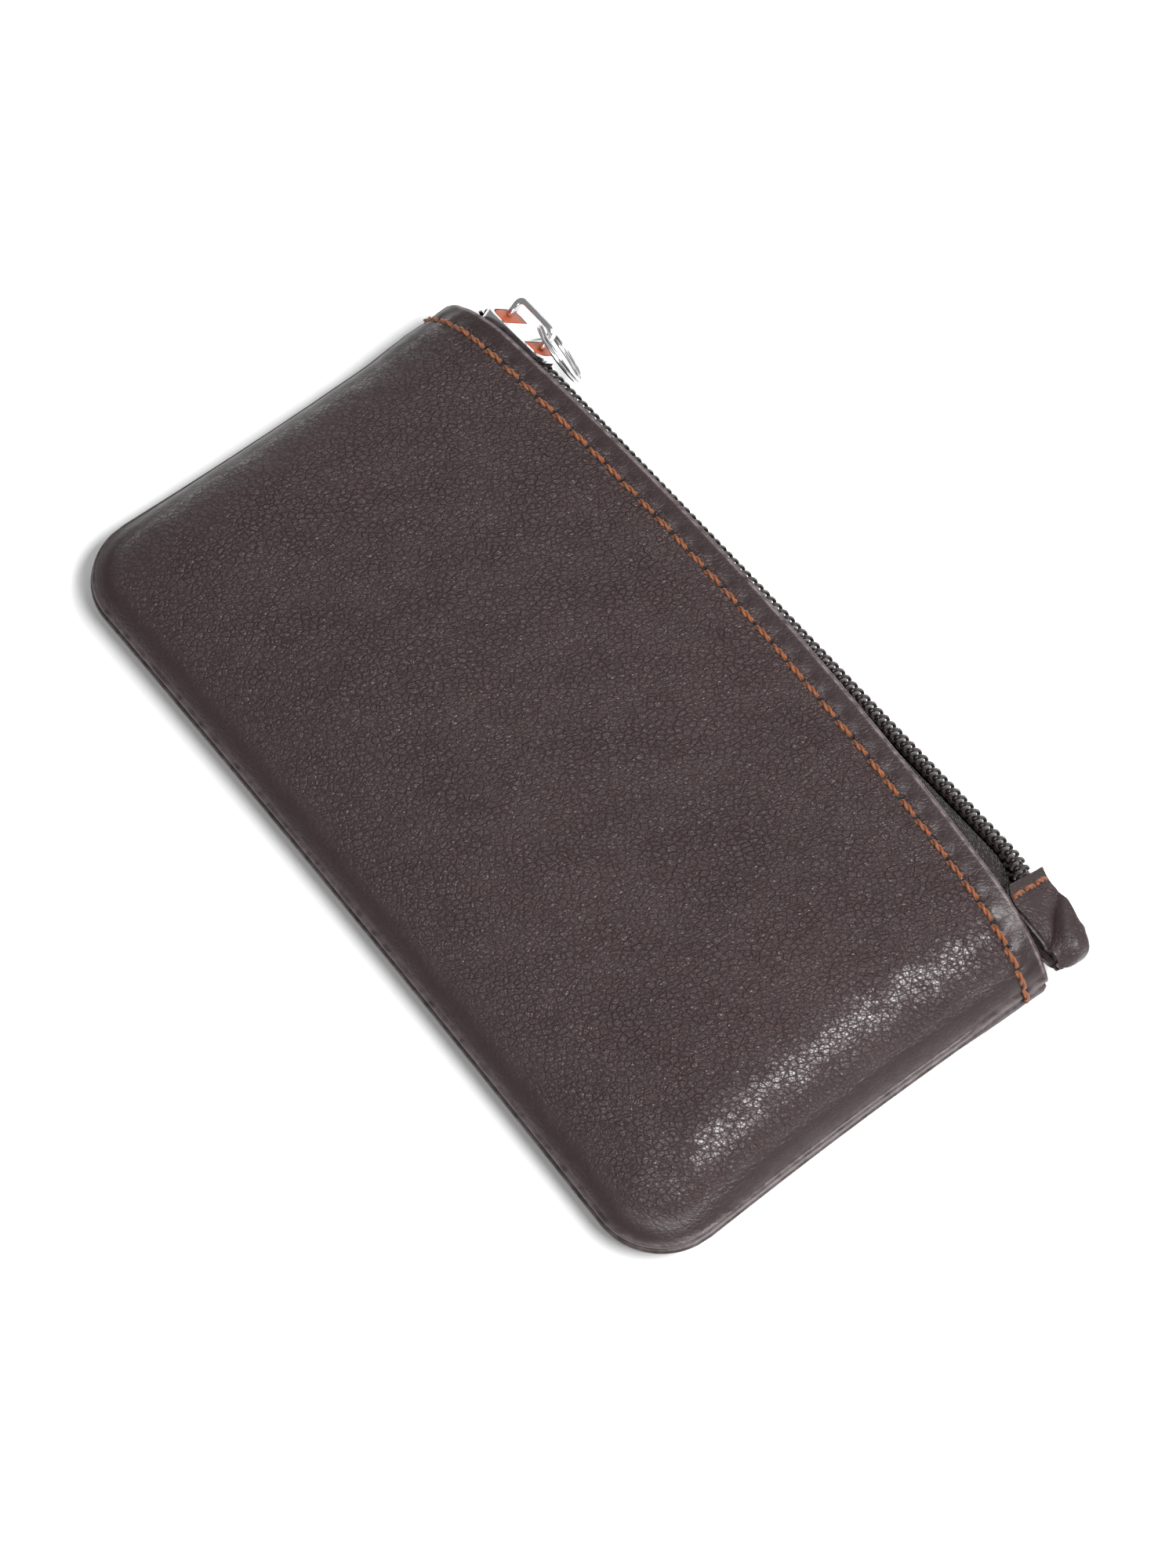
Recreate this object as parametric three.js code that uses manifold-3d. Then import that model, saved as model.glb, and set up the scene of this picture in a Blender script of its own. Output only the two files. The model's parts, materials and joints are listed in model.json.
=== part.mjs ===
// Zippered pouch: a flat leather pouch lying on its back, closed by a coil zip with a ring on its slider.
// Millimetres, +Z up. X runs along the zip from its closed end to its tab, and +Y points out of the mouth.
import * as THREE from 'three';
import { mergeVertices } from 'three/addons/utils/BufferGeometryUtils.js';
import Module from 'manifold-3d';

const wasm = await Module();
wasm.setup();

// ---- driving dimensions -------------------------------------------------------------------------
const LENGTH = 120;             // between the two side seams
const BOTTOM_Y = -30;           // bottom seam
const MOUTH_Y = 34.2;           // front mouth edge at mid-length
const FRONT_BOW = 3.4;          // how far the front mouth edge falls back at the side seams
const BACK_STEP = 1.9;          // how far the back mouth edge stands past the front one at mid-length
const CORNER_RADIUS = 9;        // bottom corners
const SIDE_PULL = 0.6;          // how far the seams draw in between the corners
const THICKNESS = 12.6;         // overall, at the front mouth edge
const SEAM_Z = 4.5;             // height of the plane where the two panels meet
const SIDE_REACH = 14;          // how far in from a side seam the panels reach full height
const BOTTOM_REACH = 27;        // the same from the bottom seam
const LEATHER = 0.8;            // one layer
const HEM_WIDTH = 8;            // width of the folded mouth hem
const HEM_RUN = 6;                // run over which the side seams thicken below the hem
const MOUTH_LIFT = 0.6;         // how far the back hem rises off the resting surface
const MOUTH_LIFT_RUN = 12;      // how far back from the mouth edge that rise begins
const LINING = 0.4;             // thickness
const LINING_INSET = 5;         // lining edge from the seams
const LINING_GAP = 0.6;         // clearance under the leather, where both curve
const TAPE = 0.4;               // zip tape thickness
const THREAD_WIDTH = 0.6;
const THREAD_HEIGHT = 0.3;
const STITCH_INSET = 3.1;       // mouth stitching from the mouth edge
const GAP = 0.3;                // clearance between layers
const THREAD_GAP = 0.12;        // clearance between a thread and its leather

const CHAIN_BACK_GAP = 0.47;    // slider and tab above the tape on the back hem, at mid-length
const CHAIN_FRONT_GAP = 0.36;   // the same, before the front hem
const CHAIN_LEAN = THREE.MathUtils.degToRad(42);    // outer face of the zip, tipped up from +Y
const CHAIN_SKEW = THREE.MathUtils.degToRad(1.9);   // zip line, turned about Z
const CHAIN_INSET = 3.4;        // chain's closed end, from the side seam
const TAB_OVERHANG = 1.5;       // how far the end tab reaches past the other side seam
const TAB_LENGTH = 12;
const TAB_COVER = 8.5;          // length of chain that the tab folds round
const COIL_PITCH = 1.2;
const COIL_INNER = 0.65;        // half the gap that the slider's post passes through
const COIL_OUTER = 2.1;
const COIL_BOTTOM = -0.1;       // above the tape, along the zip's outward normal
const COIL_TOP = 1.1;
const TAPE_N = -0.6;            // tape mid-plane along that normal
const TAPE_INNER = 0.8;         // tape's inner edge from the centre line
const TAPE_FREE_GAP = 0.3;      // where the tape leaves the zip's plane, past the slider's side

const SLIDER_INSET = 10.5;      // slider centre when the zip is closed, from the side seam
const SLIDER_LENGTH = 10.4;
const SLIDER_WIDTH = 6.8;
const SLIDER_TAIL = 5.6;        // width at the narrow end
const SLIDER_TOP = 2.3;
const SLIDER_BOTTOM = -1.75;
const SLIDER_PLATE = 0.8;       // thickness of the upper wing
const SLIDER_BACK = 0.65;       // thickness of the lower wing
const SLIDER_POST = 0.7;        // width of the post that parts the coils
const RUNNING = 0.3;            // clearance of the slider round the chain
const INLAY_RIM = 0.55;         // metal rim left round the inlay
const INLAY_DEPTH = 0.4;
const INLAY_GAP = 0.1;
const ISLAND_LENGTH = 3.6;      // metal pad that crosses the inlay
const BRIDGE_WIDTH = 1.3;
const BRIDGE_LENGTH = 7.4;
const BRIDGE_HEIGHT = 3.4;
const BRIDGE_BAR = 0.8;

const RING_WIRE = 0.9;
const RING_RADIUS = 4.5;        // to the middle of the wire
const RING_YAW = THREE.MathUtils.degToRad(-12);     // ring's plane, turned about Z
const RING_TILT = THREE.MathUtils.degToRad(25);     // ring's plane, its foot leaning outward
const RING_HANG = THREE.MathUtils.degToRad(25);     // how far it hangs off plumb, towards the tab
const RING_LEVEL = 1.6;         // where the ring crosses the bridge's leg, above the plate

const TAB_WIDTH = 6.6;
const TAB_STITCH_INSET = 1.5;
const TAB_FOLD_STEPS = 10;
const TAB_THREAD_END = 0.6;     // thread's ends from the tab's edges

const COIL_NOTCH = 0.45;        // depth of the scallops between turns
const TAPE_MARGIN = 0.8;        // lining's edge from the tape
const TAPE_GAP = 0.45;          // tape to hem
const TAPE_TUCK = 0.8;          // where the tape starts to leave the hem, from the mouth edge
const TAPE_TURN = 0.15;         // how far the back tape bows out below the chain
const TAPE_INSET = 6;           // the tapes' ends from the two side seams
const TAPE_END_INSET = 7;
const SLIDER_CORNER = 1.6;
const POST_LENGTH = 2.4;
const BRIDGE_ROUND = 1.6;
const THREAD_END = 0.6;         // mouth thread's ends from the side seams
const SEAM_INSET = 2.4;         // hidden seam thread from the seams
const SEAM_THREAD = 0.4;

// ---- shape of the body --------------------------------------------------------------------------
const HALF = LENGTH / 2;
const HEM = 2 * LEATHER;

// The zip lies where its slider and its tab pass clear of the tape on the back hem and of the front hem.
const TAB_BACK = TAPE / 2 - TAPE_N + GAP + LEATHER;
const TAPE_FREE = SLIDER_WIDTH / 2 + TAPE_FREE_GAP;
const reachDown = (halfWidth, depth) =>
  halfWidth * Math.cos(CHAIN_LEAN) + depth * Math.sin(CHAIN_LEAN);
const CHAIN_Z = MOUTH_LIFT + HEM + TAPE_GAP + TAPE + CHAIN_BACK_GAP +
  Math.max(reachDown(SLIDER_WIDTH / 2, -SLIDER_BOTTOM), reachDown(TAB_WIDTH / 2, TAB_BACK));
const HALF_WIDEST = Math.max(SLIDER_WIDTH, TAB_WIDTH) / 2;
const CHAIN_Y = MOUTH_Y + (HALF_WIDEST + CHAIN_FRONT_GAP -
  (THICKNESS - HEM - CHAIN_Z) * Math.cos(CHAIN_LEAN)) / Math.sin(CHAIN_LEAN);

const TAB_START = HALF + TAB_OVERHANG - TAB_LENGTH;
const CHAIN_START = CHAIN_INSET - HALF;
const CHAIN_END = TAB_START + TAB_COVER;
const TAPE_START = TAPE_INSET - HALF;
const TAPE_END = HALF - TAPE_END_INSET;

const clamp01 = (value) => Math.min(Math.max(value, 0), 1);
const smooth = (value) => clamp01(value) ** 2 * (3 - 2 * clamp01(value));

// Height of the cushion at a distance from a seam, from 0 at the seam to 1 at its reach.
const swell = (distance, reach) => (1 - (1 - clamp01(distance / reach)) ** 2.5) ** 0.8;

const along = (x) => clamp01(1 - (x / HALF) ** 2);
const frontMouth = (x) => MOUTH_Y - FRONT_BOW * (x / HALF) ** 2;
const backMouth = (x) => frontMouth(x) + BACK_STEP * along(x);

function bottomEdge(x) {
  const past = Math.max(Math.abs(x) - (HALF - CORNER_RADIUS), 0);
  const corner = CORNER_RADIUS - Math.sqrt(Math.max(CORNER_RADIUS ** 2 - past ** 2, 0));
  return BOTTOM_Y + SIDE_PULL * along(x) + corner;
}

// Fullness of the body at a point of its plan: the product of the rises from the nearest seams.
const fullness = (x, y) =>
  swell(HALF - Math.abs(x), SIDE_REACH) * swell(y - bottomEdge(x), BOTTOM_REACH);

// What a panel measures at its seam: one layer, and towards the mouth the two of its hem.
const atSeam = (y, mouth) => LEATHER * (1 + smooth((y - mouth + HEM_WIDTH) / HEM_RUN + 1));

function frontSkin(x, y) {
  const low = SEAM_Z + GAP / 2 + atSeam(y, frontMouth(x));
  return low + (THICKNESS - low) * fullness(x, y);
}

function backSkin(x, y) {
  const high = SEAM_Z - GAP / 2 - atSeam(y, backMouth(x));
  const lift = MOUTH_LIFT * smooth((y - backMouth(x)) / MOUTH_LIFT_RUN + 1);
  return high + (lift - high) * fullness(x, y);
}

// ---- meshing helpers ----------------------------------------------------------------------------
const spread = (count, fn) => Array.from({ length: count + 1 }, (_, i) => fn(i / count));
const easedStations = (count, half) => spread(count, (t) => -half * Math.cos(Math.PI * t));

// A closed slab between two grids of points, upper[i][j] and lower[i][j], i along +X and j along +Y.
function slab(upper, lower) {
  const rows = upper.length;
  const cols = upper[0].length;
  const positions = [...upper.flat(), ...lower.flat()].flatMap((p) => [p.x, p.y, p.z]);
  const id = (side, i, j) => side * rows * cols + i * cols + j;
  const index = [];
  const quad = (a, b, c, d) => index.push(a, b, c, a, c, d);
  for (let i = 0; i < rows - 1; i += 1) {
    for (let j = 0; j < cols - 1; j += 1) {
      quad(id(0, i, j), id(0, i + 1, j), id(0, i + 1, j + 1), id(0, i, j + 1));
      quad(id(1, i, j), id(1, i, j + 1), id(1, i + 1, j + 1), id(1, i + 1, j));
    }
    quad(id(1, i, 0), id(1, i + 1, 0), id(0, i + 1, 0), id(0, i, 0));
    quad(id(0, i, cols - 1), id(0, i + 1, cols - 1), id(1, i + 1, cols - 1), id(1, i, cols - 1));
  }
  for (let j = 0; j < cols - 1; j += 1) {
    quad(id(0, 0, j), id(0, 0, j + 1), id(1, 0, j + 1), id(1, 0, j));
    quad(id(1, rows - 1, j), id(1, rows - 1, j + 1), id(0, rows - 1, j + 1), id(0, rows - 1, j));
  }
  const geometry = new THREE.BufferGeometry();
  geometry.setAttribute('position', new THREE.Float32BufferAttribute(positions, 3));
  geometry.setIndex(index);
  return geometry;
}

// A strip of one thickness whose mid-line at each station is a short list of points.
function strip(sections, thickness) {
  const offset = (points, j, side) => {
    const before = points[Math.max(j - 1, 0)];
    const after = points[Math.min(j + 1, points.length - 1)];
    const normal = new THREE.Vector3(0, before.z - after.z, after.y - before.y).normalize();
    return points[j].clone().addScaledVector(normal, side * thickness / 2);
  };
  const side = (sign) => sections.map((points) => points.map((_, j) => offset(points, j, sign)));
  return slab(side(1), side(-1));
}

function solid(geometry) {
  const bare = geometry.clone();
  bare.deleteAttribute('normal');
  bare.deleteAttribute('uv');
  const merged = mergeVertices(bare, 1e-4);
  return new wasm.Manifold(new wasm.Mesh({
    numProp: 3,
    vertProperties: new Float32Array(merged.attributes.position.array),
    triVerts: new Uint32Array(merged.index.array),
  }));
}

function geometryOf(body) {
  const { vertProperties, triVerts } = body.getMesh();
  const geometry = new THREE.BufferGeometry();
  geometry.setAttribute('position', new THREE.Float32BufferAttribute(vertProperties, 3));
  geometry.setIndex(Array.from(triVerts));
  return geometry;
}

const extrude = (shape, depth, curveSegments = 8) =>
  new THREE.ExtrudeGeometry(shape, { depth, bevelEnabled: false, curveSegments });

const blockBetween = (low, high) =>
  new THREE.BoxGeometry(high[0] - low[0], high[1] - low[1], high[2] - low[2]).translate(
    (low[0] + high[0]) / 2, (low[1] + high[1]) / 2, (low[2] + high[2]) / 2);

const finish = (color, roughness, metalness) =>
  new THREE.MeshStandardMaterial({ color, roughness, metalness });

const FINISHES = {
  leather: () => finish(0x4a3c3d, 0.5, 0),
  lining: () => finish(0x2b2426, 0.9, 0),
  tape: () => finish(0x1c1415, 0.85, 0),
  coil: () => finish(0x1a1214, 0.35, 0),
  thread: () => finish(0x9a4a22, 0.7, 0),
  chrome: () => finish(0xd9d9dc, 0.15, 1),
  enamel: () => finish(0xb9501f, 0.3, 0),
};

function piece(name, geometry, look) {
  const mesh = new THREE.Mesh(geometry, FINISHES[look]());
  mesh.name = name;
  return mesh;
}

// ---- panels and linings -------------------------------------------------------------------------
const PANEL_COLUMNS = 28;
const PANEL_ROWS = 11;
const ROW_EASE = 1.6;           // rows crowd towards the bottom seam, where the panels curve
const HEM_STEP = 0.2;           // run over which the hem's second layer ends
const EDGE_ROUND = 0.8;         // run over which the mouth edge rounds off
const EDGE_DROP = 0.35;

// Rows of a panel from its bottom edge to its mouth edge, closer together where it curves.
function panelRows(x, mouth) {
  const hemStart = mouth - HEM_WIDTH - HEM_STEP;
  const body = spread(PANEL_ROWS, (t) => bottomEdge(x) + (hemStart - bottomEdge(x)) * t ** ROW_EASE);
  return [...body, mouth - HEM_WIDTH, mouth - STITCH_INSET, mouth - EDGE_ROUND, mouth];
}

const layers = (y, mouth) => (y > mouth - HEM_WIDTH - HEM_STEP / 2 ? HEM : LEATHER);
const edgeDrop = (y, mouth) => (y > mouth - EDGE_ROUND / 2 ? EDGE_DROP : 0);

// The sides draw in a little between the corners.
const drawnIn = (x, y) => {
  const share = clamp01((y - BOTTOM_Y) / (MOUTH_Y - FRONT_BOW - BOTTOM_Y));
  return x * (1 - SIDE_PULL / HALF * Math.sin(Math.PI * share));
};

// side is +1 for the front panel and -1 for the back one.
function panel(side, mouthAt, skin) {
  const outer = [];
  const inner = [];
  for (const x of easedStations(PANEL_COLUMNS, HALF)) {
    const mouth = mouthAt(x);
    const at = (y, depth) => new THREE.Vector3(drawnIn(x, y), y, skin(x, y) - side * depth);
    const rows = panelRows(x, mouth);
    outer.push(rows.map((y) => at(y, edgeDrop(y, mouth))));
    inner.push(rows.map((y) => at(y, layers(y, mouth) - edgeDrop(y, mouth))));
  }
  return side > 0 ? slab(outer, inner) : slab(inner, outer);
}

const LINING_COLUMNS = 20;
const LINING_ROWS = 8;

function lining(side, mouthAt, skin) {
  const near = [];
  const far = [];
  for (const x of easedStations(LINING_COLUMNS, HALF - LINING_INSET)) {
    const from = bottomEdge(x) + LINING_INSET;
    const to = mouthAt(x) - HEM_WIDTH - TAPE_MARGIN;
    const depth = LEATHER + LINING_GAP;
    const at = (y, extra) => new THREE.Vector3(x, y, skin(x, y) - side * (depth + extra));
    const rows = spread(LINING_ROWS, (t) => from + (to - from) * t ** ROW_EASE);
    near.push(rows.map((y) => at(y, 0)));
    far.push(rows.map((y) => at(y, LINING)));
  }
  return side > 0 ? slab(near, far) : slab(far, near);
}

// ---- the zip's own frame: X along the chain, Y outward, Z towards the front hem -------------------
const zip = new THREE.Group();
zip.position.set(0, CHAIN_Y, CHAIN_Z);
zip.rotation.set(CHAIN_LEAN, 0, CHAIN_SKEW, 'ZYX');
zip.updateMatrixWorld();
const onChain = (s, n, w) => zip.localToWorld(new THREE.Vector3(s, n, w));

const TAPE_COLUMNS = 28;

// side is +1 for the tape sewn to the front hem and -1 for the back one. Each section runs from
// inside the pouch, flat under the hem, round to the chain.
function tape(side, mouthAt, skin) {
  const middle = (TAPE_START + TAPE_END) / 2;
  const sections = easedStations(TAPE_COLUMNS, TAPE_END - middle).map((offset) => {
    const x = middle + offset;
    const mouth = mouthAt(x);
    const under = (inset) => {
      const z = skin(x, mouth - inset) - side * (HEM + TAPE_GAP + TAPE / 2);
      return new THREE.Vector3(x, mouth - inset, z);
    };
    const tuck = under(TAPE_TUCK);
    const free = onChain(x, TAPE_N, side * TAPE_FREE);
    const turn = new THREE.Vector3(x, free.y + TAPE_TURN, tuck.z + TAPE_TURN);
    const edge = onChain(x, TAPE_N, side * TAPE_INNER);
    return side > 0 ? [under(HEM_WIDTH), tuck, free, edge] : [under(HEM_WIDTH), tuck, turn, free, edge];
  });
  return strip(sections, TAPE);
}

// One row of coil, its inner edge scalloped at the coil's pitch.
function coil(side) {
  const teeth = Math.floor((CHAIN_END - CHAIN_START) / COIL_PITCH);
  const shape = new THREE.Shape();
  shape.moveTo(CHAIN_START, COIL_OUTER);
  shape.lineTo(CHAIN_START, COIL_INNER + COIL_NOTCH);
  for (let tooth = 0; tooth < teeth; tooth += 1) {
    const s = CHAIN_START + (tooth + 0.5) * COIL_PITCH;
    shape.lineTo(s, COIL_INNER);
    shape.lineTo(s + COIL_PITCH / 2, COIL_INNER + COIL_NOTCH);
  }
  shape.lineTo(CHAIN_START + teeth * COIL_PITCH, COIL_OUTER);
  const bar = extrude(shape, COIL_TOP - COIL_BOTTOM);
  bar.rotateX(side * Math.PI / 2);
  return bar.translate(0, side > 0 ? COIL_TOP : COIL_BOTTOM, 0);
}

// ---- slider, bridge and ring ----------------------------------------------------------------------
// Outline of the slider in its own plane: wide where the coils part, narrow at the tail.
function sliderOutline(inset) {
  const front = -SLIDER_LENGTH / 2 + inset;
  const tail = SLIDER_LENGTH / 2 - inset;
  const wide = SLIDER_WIDTH / 2 - inset;
  const slim = SLIDER_TAIL / 2 - inset;
  const round = SLIDER_CORNER;
  const shape = new THREE.Shape();
  shape.moveTo(front, -wide + round);
  shape.quadraticCurveTo(front, -wide, front + round, -wide);
  shape.lineTo(tail - round, -slim);
  shape.quadraticCurveTo(tail, -slim, tail, -slim + round);
  shape.lineTo(tail, slim - round);
  shape.quadraticCurveTo(tail, slim, tail - round, slim);
  shape.lineTo(front + round, wide);
  shape.quadraticCurveTo(front, wide, front, wide - round);
  shape.closePath();
  return shape;
}

// A plate of the slider's outline between two levels along the zip's outward normal.
const sliderPlate = (inset, low, high) =>
  extrude(sliderOutline(inset), high - low).rotateX(Math.PI / 2).translate(0, high, 0);

function sliderBody() {
  const reach = SLIDER_LENGTH;
  const channelLow = TAPE_N - TAPE / 2 - RUNNING;
  const channel = blockBetween(
    [-reach, SLIDER_BOTTOM + SLIDER_BACK, -COIL_OUTER - RUNNING],
    [reach, SLIDER_TOP - SLIDER_PLATE, COIL_OUTER + RUNNING]);
  const slot = blockBetween(
    [-reach, channelLow, -reach], [reach, TAPE_N + TAPE / 2 + RUNNING, reach]);
  const postFront = -SLIDER_LENGTH / 2 + SLIDER_POST;
  const post = blockBetween(
    [postFront, SLIDER_BOTTOM + SLIDER_BACK / 2, -SLIDER_POST / 2],
    [postFront + POST_LENGTH, SLIDER_TOP - SLIDER_PLATE / 2, SLIDER_POST / 2]);
  return solid(sliderPlate(0, SLIDER_BOTTOM, SLIDER_TOP))
    .subtract(solid(channel))
    .subtract(solid(slot))
    .add(solid(post));
}

const island = (grow) => blockBetween(
  [-ISLAND_LENGTH / 2 - grow, SLIDER_TOP - INLAY_DEPTH * 2, -SLIDER_WIDTH],
  [ISLAND_LENGTH / 2 + grow, SLIDER_TOP + INLAY_DEPTH, SLIDER_WIDTH]);

// The recess of the slider's face, and the two inlays that lie in it either side of the pad.
const recess = solid(sliderPlate(INLAY_RIM, SLIDER_TOP - INLAY_DEPTH - INLAY_GAP, SLIDER_TOP + 1))
  .subtract(solid(island(0)));

function inlay(end) {
  const half = blockBetween(
    [Math.min(0, end * SLIDER_LENGTH), 0, -SLIDER_WIDTH],
    [Math.max(0, end * SLIDER_LENGTH), SLIDER_TOP + 1, SLIDER_WIDTH]);
  return solid(sliderPlate(INLAY_RIM + INLAY_GAP, SLIDER_TOP - INLAY_DEPTH, SLIDER_TOP))
    .subtract(solid(island(INLAY_GAP)))
    .intersect(solid(half));
}

// The bridge runs lengthwise over the slider's face, with a leg at each end.
function bridge() {
  const half = BRIDGE_LENGTH / 2;
  const shape = new THREE.Shape();
  shape.moveTo(-half, 0);
  shape.lineTo(-half, BRIDGE_HEIGHT - BRIDGE_ROUND);
  shape.quadraticCurveTo(-half, BRIDGE_HEIGHT, -half + BRIDGE_ROUND, BRIDGE_HEIGHT);
  shape.lineTo(half - BRIDGE_ROUND, BRIDGE_HEIGHT);
  shape.quadraticCurveTo(half, BRIDGE_HEIGHT, half, BRIDGE_HEIGHT - BRIDGE_ROUND);
  shape.lineTo(half, 0);
  shape.lineTo(half - BRIDGE_BAR, 0);
  shape.lineTo(half - BRIDGE_BAR, BRIDGE_HEIGHT - BRIDGE_ROUND);
  shape.quadraticCurveTo(half - BRIDGE_BAR, BRIDGE_HEIGHT - BRIDGE_BAR,
    half - BRIDGE_ROUND, BRIDGE_HEIGHT - BRIDGE_BAR);
  shape.lineTo(-half + BRIDGE_ROUND, BRIDGE_HEIGHT - BRIDGE_BAR);
  shape.quadraticCurveTo(-half + BRIDGE_BAR, BRIDGE_HEIGHT - BRIDGE_BAR,
    -half + BRIDGE_BAR, BRIDGE_HEIGHT - BRIDGE_ROUND);
  shape.lineTo(-half + BRIDGE_BAR, 0);
  shape.closePath();
  return extrude(shape, BRIDGE_WIDTH).translate(0, SLIDER_TOP + INLAY_GAP, -BRIDGE_WIDTH / 2);
}

// ---- tab at the end of the zip --------------------------------------------------------------------
// A strip folded over the end of the chain: two leaves and a rounded fold, seen from its side.
function tab() {
  const end = TAB_START + TAB_LENGTH;
  const top = COIL_TOP + GAP;
  const bottom = TAPE_N - TAPE / 2 - GAP;
  const middle = (top + bottom) / 2;
  const inner = (top - bottom) / 2;
  const outer = inner + LEATHER;
  const fold = end - outer;
  const shape = new THREE.Shape();
  shape.moveTo(TAB_START, top + LEATHER);
  shape.lineTo(TAB_START, top);
  shape.lineTo(fold, top);
  shape.absarc(fold, middle, inner, Math.PI / 2, -Math.PI / 2, true);
  shape.lineTo(TAB_START, bottom);
  shape.lineTo(TAB_START, bottom - LEATHER);
  shape.lineTo(fold, bottom - LEATHER);
  shape.absarc(fold, middle, outer, -Math.PI / 2, Math.PI / 2, false);
  shape.closePath();
  return extrude(shape, TAB_WIDTH, TAB_FOLD_STEPS).translate(0, 0, -TAB_WIDTH / 2);
}

// ---- threads --------------------------------------------------------------------------------------
const THREAD_COLUMNS = 24;
const SEAM_THREAD_STEPS = 60;
const CORNER_STEPS = 4;

// One run of stitching along a mouth edge, lying on the outside of its panel.
function mouthThread(side, mouthAt, skin) {
  const span = HALF - THREAD_END;
  const rows = [-THREAD_WIDTH / 2, THREAD_WIDTH / 2];
  const lift = (x, across, height) => {
    const y = mouthAt(x) - STITCH_INSET + across;
    return new THREE.Vector3(x, y, skin(x, y) + side * height);
  };
  const columns = easedStations(THREAD_COLUMNS, span);
  const on = columns.map((x) => rows.map((across) => lift(x, across, THREAD_GAP)));
  const off = columns.map((x) => rows.map((across) => lift(x, across, THREAD_GAP + THREAD_HEIGHT)));
  return side > 0 ? slab(off, on) : slab(on, off);
}

// The stitches across the tab, on its outer leaf.
function tabThread() {
  const s = TAB_START + TAB_STITCH_INSET;
  const n = COIL_TOP + GAP + LEATHER + THREAD_GAP;
  const half = TAB_WIDTH / 2 - TAB_THREAD_END;
  return blockBetween(
    [s - THREAD_WIDTH / 2, n, -half], [s + THREAD_WIDTH / 2, n + THREAD_HEIGHT, half]);
}

// The hidden thread of the turned seam, just inside the two sides and the bottom.
function seamThread() {
  const inset = SEAM_INSET;
  const side = HALF - inset;
  const bottom = BOTTOM_Y + SIDE_PULL + inset;
  const radius = CORNER_RADIUS - inset;
  const top = frontMouth(side) - HEM_WIDTH;
  const path = new THREE.CurvePath();
  const onPlane = (x, y) => new THREE.Vector3(x, y, SEAM_Z);
  const corner = (x, from) => spread(CORNER_STEPS, (t) => from + t * Math.PI / 2).map(
    (angle) => onPlane(x + radius * Math.cos(angle), bottom + radius * (1 + Math.sin(angle))));
  const points = [
    onPlane(-side, top),
    ...corner(radius - side, Math.PI),
    ...corner(side - radius, Math.PI * 1.5),
    onPlane(side, top),
  ];
  points.slice(1).forEach((point, i) => path.add(new THREE.LineCurve3(points[i], point)));
  const section = new THREE.Shape().absarc(0, 0, SEAM_THREAD / 2, 0, Math.PI * 2);
  return new THREE.ExtrudeGeometry(section, {
    steps: SEAM_THREAD_STEPS, extrudePath: path, curveSegments: 4 });
}

// ---- the pouch ------------------------------------------------------------------------------------
const pouch = new THREE.Group();
pouch.add(
  piece('front_panel', panel(1, frontMouth, frontSkin), 'leather'),
  piece('back_panel', panel(-1, backMouth, backSkin), 'leather'),
  piece('front_lining', lining(1, frontMouth, frontSkin), 'lining'),
  piece('back_lining', lining(-1, backMouth, backSkin), 'lining'),
  piece('front_zip_tape', tape(1, frontMouth, frontSkin), 'tape'),
  piece('back_zip_tape', tape(-1, backMouth, backSkin), 'tape'),
  piece('front_mouth_thread', mouthThread(1, frontMouth, frontSkin), 'thread'),
  piece('back_mouth_thread', mouthThread(-1, backMouth, backSkin), 'thread'),
  piece('seam_thread', seamThread(), 'thread'),
  zip,
);
zip.add(
  piece('front_coil', coil(1), 'coil'),
  piece('back_coil', coil(-1), 'coil'),
  piece('end_tab', tab(), 'leather'),
  piece('end_tab_thread', tabThread(), 'thread'),
);

const slider = new THREE.Group();
slider.position.x = SLIDER_INSET - HALF;
zip.add(slider);
slider.add(
  piece('slider_body', geometryOf(sliderBody().subtract(recess)), 'chrome'),
  piece('slider_bridge', bridge(), 'chrome'),
  piece('slider_inlay_front', geometryOf(inlay(-1)), 'enamel'),
  piece('slider_inlay_tail', geometryOf(inlay(1)), 'enamel'),
);

// The ring hangs upright from the bridge's tail leg, which it goes round.
const hanger = new THREE.Group();
hanger.position.set((BRIDGE_LENGTH - BRIDGE_BAR) / 2, SLIDER_TOP + RING_LEVEL, 0);
hanger.rotation.set(RING_TILT - CHAIN_LEAN, 0, RING_YAW);
slider.add(hanger);
const legReach = Math.hypot(BRIDGE_BAR, BRIDGE_WIDTH) / 2;
const ringDrop = RING_RADIUS - RING_WIRE / 2 - legReach - GAP;
const ring = piece('pull_ring',
  new THREE.TorusGeometry(RING_RADIUS, RING_WIRE / 2, 8, 32).rotateX(Math.PI / 2), 'chrome');
ring.position.set(ringDrop * Math.sin(RING_HANG), 0, -ringDrop * Math.cos(RING_HANG));
hanger.add(ring);

export default pouch;
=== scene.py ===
"""Looks of a zippered leather pouch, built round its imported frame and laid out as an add-on."""
import json
import math

import bpy
import numpy as np
from mathutils import Matrix, Vector


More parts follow.
